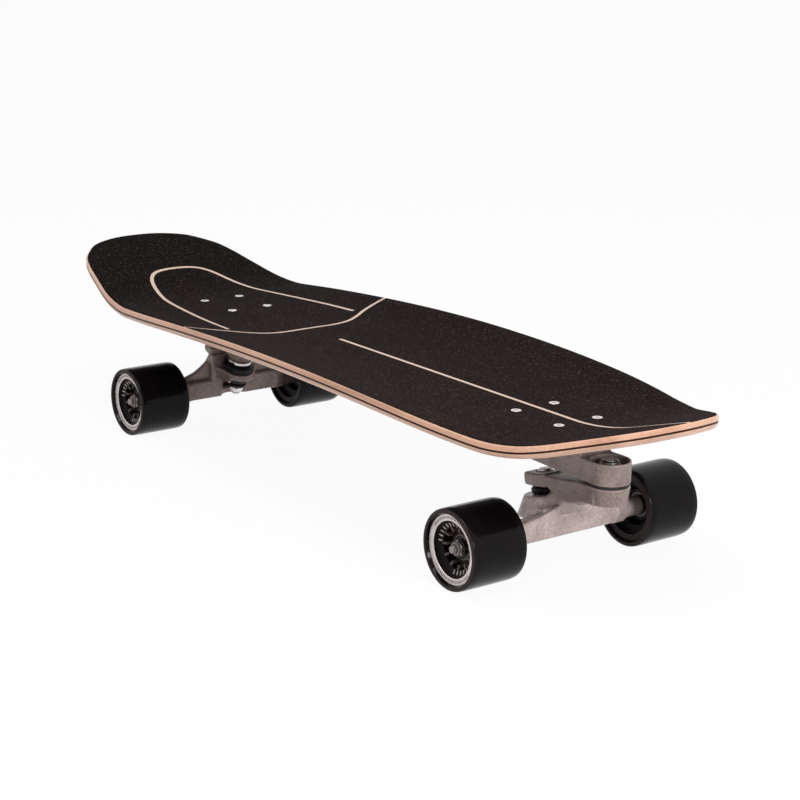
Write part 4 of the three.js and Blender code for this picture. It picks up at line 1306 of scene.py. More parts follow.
@dataclass
class Deck:
    """The bent deck: three layers that can be told apart, two sheets of grip and eight bolts."""

    form: DeckForm = field(default_factory=DeckForm)
    stripes: Stripes = field(default_factory=Stripes)
    bolt: DeckBolt = field(default_factory=DeckBolt)
    lower_plies: float = 4.2
    dark_ply: float = 1.6
    upper_plies: float = 4.7
    grip: float = 0.6
    grip_inset: float = 1.6
    land: float = 0.5
    land_gap: float = 0.1
    rail_round: float = 4.2
    top_round: float = 1.5
    pattern_x: Pair = (280, -221)
    body: str = "board"

    def bolt_places(self) -> list[Pair]:
        """Places of the eight bolts, front pattern first."""
        half_length, half_width = BOLT_PATTERN[0] / 2, BOLT_PATTERN[1] / 2
        corners = [(i * half_length, j * half_width) for i in (-1, 1) for j in (-1, 1)]
        return [(x + dx, dy) for x in self.pattern_x for dx, dy in corners]

    def top_at(self, place: Pair) -> float:
        """Height of the grip at a place."""
        rise = float(self.form.height(np.array(place[0]), np.array(place[1])))
        return self.form.underside + self.wood + self.grip + rise

    @property
    def wood(self) -> float:
        """Thickness of all the wood."""
        return self.lower_plies + self.dark_ply + self.upper_plies

    @property
    def slit_reach(self) -> Pair:
        """Heights between which the slits in the grip are read."""
        return self.form.underside, self.form.underside + 60

    def holes(self) -> Shell:
        """The eight bolt holes as one tool.

        Returns:
            The tool's skin.
        """
        tools = []
        for place in self.bolt_places():
            tool = self.bolt.hole(self.top_at(place), self.form.underside)
            tools.append(tool.moved(Matrix.Translation((*place, 0))))
        return together(*tools)

    def ply(self, low: float, high: float, **changes: float) -> Ply:
        """A layer of the deck between two heights."""
        values = {"lower_round": self.rail_round, "upper_round": self.top_round, "total": self.wood}
        return Ply(self.form, low, high, **{**values, **changes})

    def build(self) -> None:
        """Build the layers, the grip and the bolts."""
        self.build_wood()
        self.build_grip()
        self.build_bolts()

    def build_wood(self) -> None:
        """Build the three layers of wood, the upper one with lands in the grip's slits."""
        heights = [0, self.lower_plies, self.lower_plies + self.dark_ply, self.wood]
        names = ("lower_plies", "dark_ply", "upper_plies")
        finishes = (Finishes.PALE_LOWER, Finishes.DYED, Finishes.PALE_UPPER)
        holes = [(self.holes(), Cut.TAKE_OUT)]
        for name, finish, low, high in zip(names, finishes, heights, heights[1:]):
            cuts = [*self.land_cuts(), *holes] if high == self.wood else holes
            skin = self.ply(low, high).skin()
            piece = Piece(f"wood_{name}", skin, finish, self.body, (f"deck_{name}",), carved=cuts)
            mark_heights(piece.build(), self.form, low)

    def land_cuts(self) -> list[tuple[Shell, Cut]]:
        """The raised lines of wood that fill the slits in the grip.

        Returns:
            One join for each line.
        """
        sheet = self.ply(
            self.wood - 1, self.wood + self.land, inset=self.grip_inset, upper_round=0.01, lower_round=0.01,
            total=self.wood + self.land, rings=3,
        ).skin()
        cuts = []
        for band in self.stripes.bands(*self.slit_reach, self.stripes.width - 2 * self.land_gap):
            thing = placed("land", sheet.mesh("land"))
            carve(thing, band, Cut.KEEP_SHARED)
            points = np.array([v.co for v in thing.data.vertices]) / MILLIMETRE
            cuts.append((Shell(points, [tuple(p.vertices) for p in thing.data.polygons]), Cut.JOIN))
            bpy.data.objects.remove(thing)
        return cuts

    def build_grip(self) -> None:
        """Build the two sheets of grip, slit along the stripes."""
        cross = self.stripes.cross()
        nose = self.stripes.nose_x
        ahead = prism([*map(tuple, cross), (nose, cross[-1][1]), (nose, cross[0][1])], *self.slit_reach)
        sheet = self.ply(
            self.wood, self.wood + self.grip, inset=self.grip_inset, upper_round=0.3, lower_round=0.01,
            total=self.wood + self.grip, rings=5,
        ).skin()
        bands = self.stripes.bands(*self.slit_reach, self.stripes.width)
        slits = [(band, Cut.TAKE_OUT) for band in (*bands, self.holes())]
        for end, how in (("front", Cut.KEEP_SHARED), ("rear", Cut.TAKE_OUT)):
            piece = Piece(f"grip_sheet_{end}", sheet, Finishes.GRIP, self.body, (f"grip_{end}",))
            piece.carved = ((ahead, how), *slits)
            piece.build()

    def build_bolts(self) -> None:
        """Build the eight bolts."""
        underside = self.form.underside
        for i, place in enumerate(self.bolt_places(), 1):
            move = Matrix.Translation((*place, 0))
            top = self.top_at(place)
            recess = [(wedge, Cut.TAKE_OUT) for wedge in self.bolt.recess(top)]
            skin = self.bolt.skin(top, underside)
            Piece(f"bolt_{i}", skin, Finishes.ZINC, self.body, (f"deck_bolt_{i}",), move, recess).build()
            nut, cuts = self.bolt.nut(underside)
            Piece(f"bolt_nut_{i}", nut, Finishes.ZINC, self.body, (), move, cuts).build()


# Trucks and wheels


@dataclass(frozen=True)
class Bars:
    """Plain even bars round a wheel's axis, in spans that are given in turns."""

    count: int
    spans: tuple[Pair, ...]
    near: float
    far: float
    width: float

    def skin(self, low: float, high: float, slope: float) -> Shell:
        """Set the bars on a face.

        Args:
            low: Their lower face at the inner radius.
            high: Their upper face at the inner radius.
            slope: How much they rise outward.

        Returns:
            The bars' skin.
        """
        near, far, half = self.near, self.far, self.width / 2
        bars = []
        for start, end in self.spans:
            for k in range(self.count):
                turn = 2 * math.pi * (start + (end - start) * k / self.count)
                bar = prism([(near, -half), (far, -half), (far, half), (near, half)], low, high)
                bar.points[:, 2] += (bar.points[:, 0] - near) * slope
                bars.append(bar.moved(Matrix.Rotation(turn, 4, "Z")))
        return together(*bars)


@dataclass
class Wheel:
    """One wheel: tyre with its printed ring, core with ribs, and two bearings."""

    radius: float = 34.149
    width: float = 54.5
    inset: float = 1.35
    bore: float = 23.55
    tyre_crease: float = 50
    face_radius: float = 28.8
    face_drop: float = 3.4
    face_slope: float = 0.06
    core_radius: float = 23.3
    core_rim: float = 1.4
    core_half: float = 20.5
    rim_step: float = 1.2
    dish_drop: float = 4
    groove: float = 2.4
    hub_bore: float = 11.125
    hub_wall: float = 2.6
    hub_stand: float = 7
    hub_lip: float = 2
    web_half: float = 9
    pockets: int = 11
    pocket_reach: float = 17.2
    pocket_depth: float = 8.5
    pocket_share: float = 0.56
    rib_width: float = 1.7
    rib_slope: float = 0.3
    bearing_radius: float = 11
    bearing_width: float = 6.75
    bearing_bore: float = 4.125
    spacer_half: float = 5
    ticks: Bars = Bars(26, ((0.12, 0.41), (0.62, 0.91)), 25.2, 27.2, 0.85)
    dish_bars: Bars = Bars(8, ((0.24, 0.52), (0.74, 1.02)), 18.2, 21.2, 1.2)

    @property
    def hub_radius(self) -> float:
        """Outer radius of the hub."""
        return self.hub_bore + self.hub_wall

    @property
    def dish_slope(self) -> float:
        """How much the core's dished face rises outward."""
        near, far = self.hub_radius + self.groove, self.core_radius - self.core_rim
        return (self.dish_drop - self.rim_step) / (far - near)

    def dish_height(self, radius: float) -> float:
        """Height of the core's dished face over the core's middle, at a radius."""
        near = self.hub_radius + self.groove
        return self.core_half - self.dish_drop + (radius - near) * self.dish_slope

    def face_height(self, radius: float) -> float:
        """Height of the silver ring's face over the wheel's middle, at a radius."""
        return self.width / 2 - self.face_drop - (self.face_radius - radius) * self.face_slope

    def tyre_profile(self) -> list[Pair]:
        """Trace the tyre from one bore edge round the tread to the other.

        Returns:
            The outline.
        """
        half = self.width / 2
        face = [
            (self.bore, half - 3.95, 0), (28.9, half - 3.6, 0.3), (29.9, half - 0.3, 0.8), (31.2, half, 0.9),
            (self.radius - 0.5, half - 0.6, 2.6), (self.radius, half - 6.5, 6),
        ]
        outer = rounded([*face, (self.radius, 0, 0)])[:-1]
        inner = [(r, -z) for r, z in outer]
        return [*inner, *outer[::-1]]

    def core_profile(self) -> list[Pair]:
        """Trace the core's rim, dished face, groove, hub and bearing seats.

        Returns:
            The outline.
        """
        hub, half, web = self.hub_radius, self.core_half, self.web_half
        rim, dish = self.core_radius - self.core_rim, hub + self.groove
        stand = self.spacer_half + self.hub_stand
        outer = rounded([
            (self.hub_bore, stand, 0), (hub, stand, 0.6), (hub, web, 0.8), (dish, web, 0.8),
            (dish, half - self.dish_drop, 0.7), (rim, half - self.rim_step, 0.5), (rim, half, 0.4),
            (self.core_radius, half, 0),
        ])
        lip, seat = self.hub_bore - self.hub_lip, self.spacer_half - 0.25
        return [
            *outer, *[(r, -z) for r, z in outer[::-1]], (self.hub_bore, -seat), (lip, -seat), (lip, seat),
            (self.hub_bore, seat),
        ]

    def pocket_tools(self) -> Shell:
        """The pockets between the core's spokes, on both of its faces.

        Returns:
            The tool's skin.
        """
        near, far = self.hub_radius + 1.2, self.pocket_reach
        half = self.pocket_share * math.pi / self.pockets
        corners = [(near, -1.15 * half), (far, -half), (far, 0.0), (far, half), (near, 1.15 * half)]
        flat = [(r * math.cos(a), r * math.sin(a)) for r, a in corners]
        floor, out = self.core_half - self.pocket_depth, self.core_half + 4
        cells = []
        for k in range(self.pockets):
            turn = Matrix.Rotation(2 * math.pi * k / self.pockets, 4, "Z")
            cells += [prism(flat, low, high).moved(turn) for low, high in ((floor, out), (-out, -floor))]
        return together(*cells)

    def race(self, low: float) -> Shell:
        """Turn a bearing's races, with the seats of its shields, from where the bearing starts.

        Args:
            low: Where the bearing starts on the wheel's axis.

        Returns:
            The races' skin.
        """
        bore, outer = self.bearing_bore, self.bearing_radius
        return self.facing(low, [
            (bore, 0.4), (bore + 0.3, 0), (bore + 1.9, 0), (bore + 2.0, 0.9), (outer - 1.75, 0.9),
            (outer - 1.6, 0), (outer - 0.35, 0), (outer, 0.4),
        ])

    def shields(self, low: float) -> Shell:
        """Turn both shields of a bearing as one ring with a waist.

        Args:
            low: Where the bearing starts on the wheel's axis.

        Returns:
            The ring's skin.
        """
        bore, outer = self.bearing_bore + 2.1, self.bearing_radius - 1.85
        return self.facing(low, [
            (bore, 0.95), (bore, 0.6), (bore + 0.5, 0.42), (outer - 0.5, 0.42), (outer, 0.6), (outer, 0.95),
        ])

    def facing(self, low: float, face: Sequence[Pair]) -> Shell:
        """Turn a ring whose two faces mirror each other.

        Args:
            low: Where the bearing starts along the axle.
            face: Radius and depth of each point of one face.

        Returns:
            The ring's skin.
        """
        high = low + self.bearing_width
        profile = [(r, low + d) for r, d in face] + [(r, high - d) for r, d in face[::-1]]
        return revolved(profile, RING_SIDES)

    def print_band(self) -> Shell:
        """The silver ring on the wheel's face, with a fine line cut into it.

        Returns:
            The ring's skin.
        """
        return revolved([(r, self.face_height(r) - deep) for r, deep in (
            (28.75, 0.3), (28.75, 0), (27.55, 0), (27.5, 0.14), (27.3, 0.14), (27.25, 0), (23.65, 0),
            (23.5, 0.3),
        )], TYRE_SIDES)

    def hub_ribs(self) -> Shell:
        """The ribs that stand in the groove between the pockets.

        Returns:
            The ribs' skin.
        """
        cell = 0.5 / self.pockets
        near, far = self.hub_radius - 0.1, self.pocket_reach + 0.4
        bars = Bars(self.pockets, ((cell, 1 + cell),), near, far, self.rib_width)
        return bars.skin(self.web_half - 0.1, self.core_half - self.dish_drop - 0.3, self.rib_slope)

    def build(self, name: str, axle: Matrix, body: str) -> None:
        """Build the wheel.

        Args:
            name: The wheel's name.
            axle: The middle of the wheel, with z outward along the axle.
            body: The body the wheel rides on.
        """
        tyre = axle @ Matrix.Translation((0, 0, -self.inset))
        face, dish = self.face_height(self.ticks.near), self.dish_height(self.dish_bars.near)
        ticks = self.ticks.skin(face - 0.1, face + 0.04, self.face_slope)
        dish_bars = self.dish_bars.skin(dish - 0.3, dish + 0.06, self.dish_slope)
        parts = [
            ("tread", revolved(self.tyre_profile(), TYRE_SIDES), Finishes.URETHANE, "tyre", tyre),
            ("ring", self.print_band(), Finishes.PRINT, "", tyre),
            ("ring_ticks", ticks, Finishes.INK, "", tyre),
            ("hub", revolved(self.core_profile(), HUB_SIDES), Finishes.PLASTIC, "core", axle),
            ("dish_bars", dish_bars, Finishes.BARS, "", axle),
            # The ribs wear the lighter copy of the core plastic, painted light.
            ("hub_ribs", self.hub_ribs(), Finishes.RIB_PAINTED_LIT, "", axle),
        ]
        for end, low in (("inner", -self.spacer_half - self.bearing_width), ("outer", self.spacer_half)):
            # The races wear the dark copy of the bearing steel, painted shade.
            parts.append((f"race_{end}", self.race(low), Finishes.STEEL_PAINTED_SHADE, f"bearing_{end}", axle))
            parts.append((f"shield_{end}", self.shields(low), Finishes.SHIELD, "", axle))
        for part, skin, finish, node, move in parts:
            piece = Piece(f"{name}_{part}", skin, finish, body, (f"{name}_{node}",) if node else (), move)
            if part == "hub":
                piece.carved = ((self.pocket_tools(), Cut.TAKE_OUT),)
            if part == "tread":
                piece.crease = self.tyre_crease
            piece.build()


@dataclass
class Steering:
    """Where a truck's ring, kingpin and pivot lie, in the truck's own frame."""

    x: float
    z: float
    lean: float
    rise: float
    bushing: float
    skirt: float
    flare: float
    ring_half: float = 5
    washer: float = 1.4
    gap: float = 0.25

    @property
    def place(self) -> Pair:
        """The ring's middle in x and z."""
        return self.x, self.z

    @property
    def seat(self) -> float:
        """Height of the seat over the ring's middle, along the kingpin."""
        return self.ring_half + self.bushing + self.washer + 3 * self.gap

    def kingpin(self) -> Matrix:
        """The kingpin's frame, with z up the kingpin."""
        return Matrix.Translation((self.x, 0, self.z)) @ Matrix.Rotation(-self.lean, 4, "Y")

    def pivot(self) -> Matrix:
        """The pivot's frame, with z along its axis."""
        return Matrix.Translation((self.x, 0, self.z)) @ Matrix.Rotation(math.pi / 2 - self.rise, 4, "Y")


@dataclass
class Truck:
    """What the two trucks share: hanger, axle, wheels, bushings, washers, kingpin and pivot cup."""

    end: End
    axle_x: float
    heading: float
    steering: Steering
    wings: tuple[Pair, ...]
    axle_height: float = 34.149
    hanger_length: float = 165
    beam_radius: float = 8.4
    beam_inner: float = 7.5
    beam_outer: float = 5.5
    ledge_height: float = 11
    tower_inner: float = -1
    wing_edge: float = 1.2
    wing_unit: float = 20
    ring_shoulder: float = 31
    ring_edge: float = 20
    bridge_top: float = 5
    pocket_top: float = -5
    pocket_radius: float = 14
    seat_pocket: float = 17.6
    kingpin_room: float = 7
    kingpin_hole: float = 5
    bushing_radii: Triple = (12.6, 14.2, 9.4)
    bushing_bore: float = 4.95
    lower_foot: float = -11.75
    cheek_foot: float = 2
    axle_radius: float = 4
    axle_room: float = 4.4
    wheel_centre: float = 95.5
    spacer_half: float = 5
    bearing_room: float = 7
    speed_washer: float = 1
    lock_nut: float = 6.4
    lock_nut_flat: float = 13
    axle_tail: float = 3
    housing_radius: float = 10.5
    housing: Pair = (39, 54.3)
    pattern_x: float = -14
    plate_reach: float = 16
    plate_half: float = 28
    plate_corner: float = 8
    plate_thickness: float = 6.5
    plate_hole: float = 2.9
    plate_edge: float = 1.2
    socket_radius: float = 9.1
    socket_end: float = 53.2
    neck_room: tuple[Pair, ...] = ((14.4, 14), (9.8, 38.75))
    kingpin_head: float = 14
    kingpin_radius: float = 4.7
    kingpin_pitch: float = 1.3
    axle_pitch: float = 1.25
    axle_collar: float = 5.6
    height: float = 79.1
    cast_crease: float = 80
    wheel: Wheel = field(default_factory=Wheel)
    hanger_finish: Metal = Finishes.CAST

    @property
    def name(self) -> str:
        """The truck's name."""
        return self.end.value

    @property
    def matrix(self) -> Matrix:
        """The truck's frame: x outward from the axle, z up from it."""
        return Matrix.Translation((self.axle_x, 0, self.axle_height)) @ Matrix.Rotation(self.heading, 4, "Z")

    @property
    def hanger_body(self) -> str:
        """The body that the hanger is."""
        return f"{self.name}_hanger"

    @property
    def stack_body(self) -> str:
        """The body that the kingpin stands in."""
        return "front_arm" if self.end is End.FRONT else "board"

    def side_name(self, side: int) -> str:
        """Name of a side of the truck's own frame, as the rider sees it."""
        return "left" if side * math.cos(self.heading) > 0 else "right"

    def outward(self, side: int, along: float = 0.0) -> Matrix:
        """A frame some way along the axle on a side, with z outward."""
        turn = Matrix.Rotation(-side * math.pi / 2, 4, "X")
        return self.matrix @ (Matrix.Translation((0, side * along, 0)) @ turn)

    def put(self, part: str, node: str, skin: Shell, finish: Finish, body: str, move: Matrix,
            cuts: Cuts = ()) -> None:
        """Build a turned piece of the truck.

        Args:
            part: The piece's name after the truck's.
            node: The name of the node it stands for, after the truck's.
            skin: Its skin.
            finish: Its finish.
            body: The body it rides on.
            move: Where its skin goes.
            cuts: What is carved into it.
        """
        Piece(f"{self.name}_{part}", skin, finish, body, (f"{self.name}_{node}",), move, cuts).build()

    def cast(self, part: str, node: str, skin: Shell, body: str, finish: Metal = Finishes.CAST) -> None:
        """Dress and place a casting that was made in the truck's frame.

        Args:
            part: The piece's name without the truck's.
            node: The record's part it stands for.
            skin: The casting's skin.
            body: The body it rides on.
            finish: Its finish.
        """
        nodes = (f"{self.name}_{node}",)
        piece = Piece(f"{self.name}_{part}_casting", skin, finish, body, nodes, self.matrix)
        piece.crease = self.cast_crease
        piece.build()

    def hanger(self) -> Shell:
        """Cast the hanger: beam, wings, ring, neck and pivot nose.

        Returns:
            The skin in the truck's frame.
        """
        s = self.steering
        reach = self.hanger_length / 2
        rise = [(a * reach, b * self.wing_unit) for a, b in self.wings]
        foot, top = rise[0][0], rise[-1][1]
        c = Casting((-54, -reach - 3, -12), (46, reach + 3, max(top, 44) + 4))
        half = [*rise[::-1], (foot, -self.beam_radius)]
        wings = polygon(c.y, c.z, [*[(-a, b) for a, b in half[::-1]], *half])
        ledge = np.maximum(wings, c.z - self.ledge_height)
        c.add(raised(ledge, c.x, -self.beam_inner, self.beam_outer, 2.6))
        c.add(raised(wings, c.x, self.tower_inner, self.beam_outer, self.wing_edge), 3)
        across = np.hypot(c.x, c.z) - self.beam_radius
        c.add(np.maximum(raised(across, c.y, -reach, reach, 0.8), foot - 9 - np.abs(c.y)), 5)
        u, w = c.turned(s.place, -s.lean)
        rho = np.hypot(u, c.y)
        low, high, edge, shoulder = -s.ring_half - s.skirt, s.ring_half, self.ring_edge, self.ring_shoulder
        waist = edge + max(s.flare, 0) * 2 * high / (high - low)
        ring = [(-FAR, low), (edge + s.flare, low), (waist, -high), (edge, high), (-FAR, high)]
        c.add(polygon(rho, w, ring), 1.5)
        bridge = polygon(u, c.y, [(0, edge), (-s.x, shoulder), (-s.x, -shoulder), (0, -edge)])
        c.add(raised(bridge, w, low, self.bridge_top, 1.2), 2)
        if top > self.cheek_foot + self.wing_unit:
            inner = np.abs(c.x + self.beam_inner / 2) - self.beam_inner / 2
            cheeks = np.maximum(inner, np.abs(c.y) - shoulder)
            c.add(raised(cheeks, c.z, self.cheek_foot, top, 0.8), 1)
        a, b = c.turned(s.place, math.pi / 2 - s.rise)
        neck = [(-FAR, 14), (12, 14), (7.4, 37), (6.2, 39), (6.2, 47.6), (3.8, 50), (-FAR, 50)]
        c.add(polygon(np.hypot(a, c.y), b, neck), 5)
        self.hollow_hanger(c, u, w)
        return c.skin()

    def hollow_hanger(self, c: Casting, u: Field, w: Field) -> None:
        """Take the bushings' rooms, the kingpin's and the axle's out of the hanger.

        Args:
            c: The hanger.
            u: Place across the kingpin.
            w: Place along the kingpin.
        """
        s = self.steering
        rho = np.hypot(u, c.y)
        up_to = s.seat - s.washer
        c.cut(raised(rho - self.seat_pocket, w, s.ring_half, up_to, 0.5), 1)
        c.cut(np.maximum(np.maximum(up_to - w, u - self.seat_pocket), -40 - u), 1)
        c.cut(rho - self.kingpin_room)
        c.cut(raised(rho - self.pocket_radius, w, -FAR, self.pocket_top), 1)
        if self.pocket_top > -s.ring_half:
            notch = np.maximum(u + 6, np.abs(c.y) - 13)
            c.cut(raised(notch, w, -FAR, self.pocket_top, 0.5), 1)
        c.cut(np.maximum(np.hypot(c.x, c.z) - self.axle_room, self.hanger_length / 2 - 4 - np.abs(c.y)))

    def build_axle(self) -> None:
        """Build the axle with its collars and threaded ends, and its two nuts."""
        hanger, middle = self.hanger_length / 2, self.wheel_centre
        radius, collar = self.axle_radius, self.axle_collar
        start = middle + self.spacer_half + self.bearing_room
        end = start + self.speed_washer + self.lock_nut + self.axle_tail
        half = [
            (radius, hanger), (collar, hanger + 0.13), (collar, hanger + 0.95), (radius, hanger + 1),
            (radius, middle - 4.9), (self.spacer_half, middle - 4.8), (self.spacer_half, middle + 4.8),
            (radius, middle + 4.9), (radius, end - 9), *thread(end - 8.6, end - 0.7, radius, self.axle_pitch),
            (2.9, end), (0, end + 0.1),
        ]
        axle = revolved([(r, -z) for r, z in half[::-1]] + half, THREAD_SIDES)
        # The axle and its nuts wear the dark copy of the zinc plate, painted shade.
        body, finish = self.hanger_body, Finishes.NUT_STEEL_PAINTED_SHADE
        self.put("axle_rod", "axle", axle, finish, body, self.outward(1))
        nut, cuts = hex_nut(self.lock_nut_flat, start + 1.1, start + 7.4)
        washer = rounded([(0, start, 0), (collar, start, 0.2), (collar, start + 1, 0.2), (0, start + 1.2, 0)])
        bore = rod(radius + 0.05, start - 5, start + 20)
        cuts = (*cuts, (revolved(washer, NUT_SIDES), Cut.JOIN), (bore, Cut.TAKE_OUT))
        for side in (1, -1):
            name = self.side_name(side)
            self.put(f"{name}_axle_lock_nut", f"{name}_axle_nut", nut, finish, body, self.outward(side), cuts)

    def build_wheels(self) -> None:
        """Build both wheels."""
        for side in (1, -1):
            name = f"{self.name}_{self.side_name(side)}"
            self.wheel.build(name, self.outward(side, self.wheel_centre), f"{name}_wheel")

    def build_stack(self) -> None:
        """Build the bushings, cupped washers, kingpin and its nut, and the pivot's cup."""
        s = self.steering
        body, move, bore = self.stack_body, self.matrix @ s.kingpin(), self.bushing_bore
        foot, bulge, lower = self.bushing_radii
        low = s.ring_half + s.gap
        high = low + s.bushing
        cup, under, under_top = high + s.gap, self.lower_foot, self.pocket_top - s.gap
        under_cup = under - s.gap
        under_low = under_cup - s.washer
        shapes = [
            ("bushing_top", "bushing_upper", Finishes.BUSHING, [
                (bore, low, 0), (foot, low, 0.8), (bulge, (low + high) / 2, 3), (11.4, high - 2.05, 0.6),
                (11.4, high, 0.4), (bore, high, 0)]),
            ("washer_top", "cup_washer_upper", Finishes.ZINC, [
                (bore, cup, 0), (11.6, cup, 0.4), (11.7, cup - 1.8, 0.1), (12.8, cup - 1.8, 0.4),
                (12.8, cup + s.washer, 1.2), (bore, cup + s.washer, 0)]),
            ("bushing_bottom", "bushing_lower", Finishes.BUSHING, [
                (bore, under, 0), (7.85, under, 0.4), (7.85, under + 1.8, 0.4), (lower, under_top, 1.2),
                (bore, under_top, 0)]),
            # The lower cup washer wears the dark copy of the zinc plate, painted shade.
            ("washer_bottom", "cup_washer_lower", Finishes.ZINC_PAINTED_SHADE, [
                (bore, under_low, 0), (9.2, under_low, 1.1), (9.2, under_cup + 1.55, 0.4),
                (8.1, under_cup + 1.55, 0.1), (8.1, under_cup, 0.3), (bore, under_cup, 0)]),
        ]
        for part, node, finish, profile in shapes:
            self.put(part, node, revolved(rounded(profile), RING_SIDES), finish, body, move)
        nut_top, seat = under_low - s.gap, s.seat + 5
        end = nut_top - self.lock_nut - 2.6
        radius, pitch = self.kingpin_radius, self.kingpin_pitch
        pin = revolved([
            (0, end), (3.6, end), *thread(end + 0.8, nut_top + 1, radius, pitch), (radius, nut_top + 1.5),
            (radius, seat + 1), (0, seat + 1),
        ], THREAD_SIDES)
        head, cuts = hex_nut(self.kingpin_head, seat + s.gap, seat + 5.4)
        self.put("kingpin_bolt", "kingpin", head, Finishes.ZINC, body, move, (*cuts, (pin, Cut.JOIN)))
        nut, cuts = hex_nut(self.lock_nut_flat, nut_top - self.lock_nut, nut_top, collar_below=True)
        cuts = (*cuts, (rod(4.75, end - 9, nut_top + 9), Cut.TAKE_OUT))
        self.put("kingpin_lock_nut", "kingpin_nut", nut, Finishes.ZINC, body, move, cuts)
        bowl = revolved(rounded([
            (0, 50.25, 0), (6.45, 50.25, 0.5), (6.45, 39.25, 0.3), (8.85, 39.25, 0.6), (8.85, 52.65, 1.2),
            (0, 52.65, 0),
        ]), NUT_SIDES)
        self.put("pivot_bowl", "pivot_cup", bowl, Finishes.BUSHING, body, self.matrix @ s.pivot())

    def add_plate(self, c: Casting, fillet: float = 0.0) -> None:
        """Join the flange under the deck, with rounded corners, to a base.

        Args:
            c: The base's casting.
            fillet: Radius of the fillet where they meet.
        """
        corner = self.plate_corner
        half_x, half_y = BOLT_PATTERN[0] / 2 + self.plate_reach - corner, self.plate_half - corner
        dx, dy = np.abs(c.x - self.pattern_x) - half_x, np.abs(c.y) - half_y
        flat = np.hypot(np.maximum(dx, 0), np.maximum(dy, 0)) + np.minimum(np.maximum(dx, dy), 0) - corner
        c.add(raised(flat, c.z, self.height - self.plate_thickness, self.height, self.plate_edge), fillet)

    def drill(self, c: Casting) -> None:
        """Take the four bolt holes out of a flange."""
        dx = np.abs(c.x - self.pattern_x) - BOLT_PATTERN[0] / 2
        c.cut(np.hypot(dx, np.abs(c.y) - BOLT_PATTERN[1] / 2) - self.plate_hole + 0 * c.z)

    def add_housing(self, c: Casting, fillet: float) -> tuple[Field, Field]:
        """Join the pivot's housing to a casting, and give the pivot's frame."""
        a, b = c.turned(self.steering.place, math.pi / 2 - self.steering.rise)
        c.add(raised(np.hypot(a, c.y) - self.housing_radius, b, *self.housing, 1.5), fillet)
        return a, b

    def clear_pivot(self, c: Casting, a: Field, b: Field) -> None:
        """Take the cup's socket and the neck's room out of a casting.

        Args:
            c: The casting.
            a: Place across the pivot.
            b: Place along the pivot.
        """
        around = np.hypot(a, c.y)
        (wide, start), (narrow, stop) = self.neck_room
        c.cut(raised(around - self.socket_radius, b, start, self.socket_end))
        room = [(-FAR, -FAR), (wide, -FAR), (wide, start), (narrow, stop), (-FAR, stop)]
        c.cut(polygon(around, b, room), 1)

    def build_shared(self) -> None:
        """Build what both trucks have."""
        self.cast("hanger", "hanger", self.hanger(), self.hanger_body, self.hanger_finish)
        self.build_axle()
        self.build_stack()
        self.build_wheels()


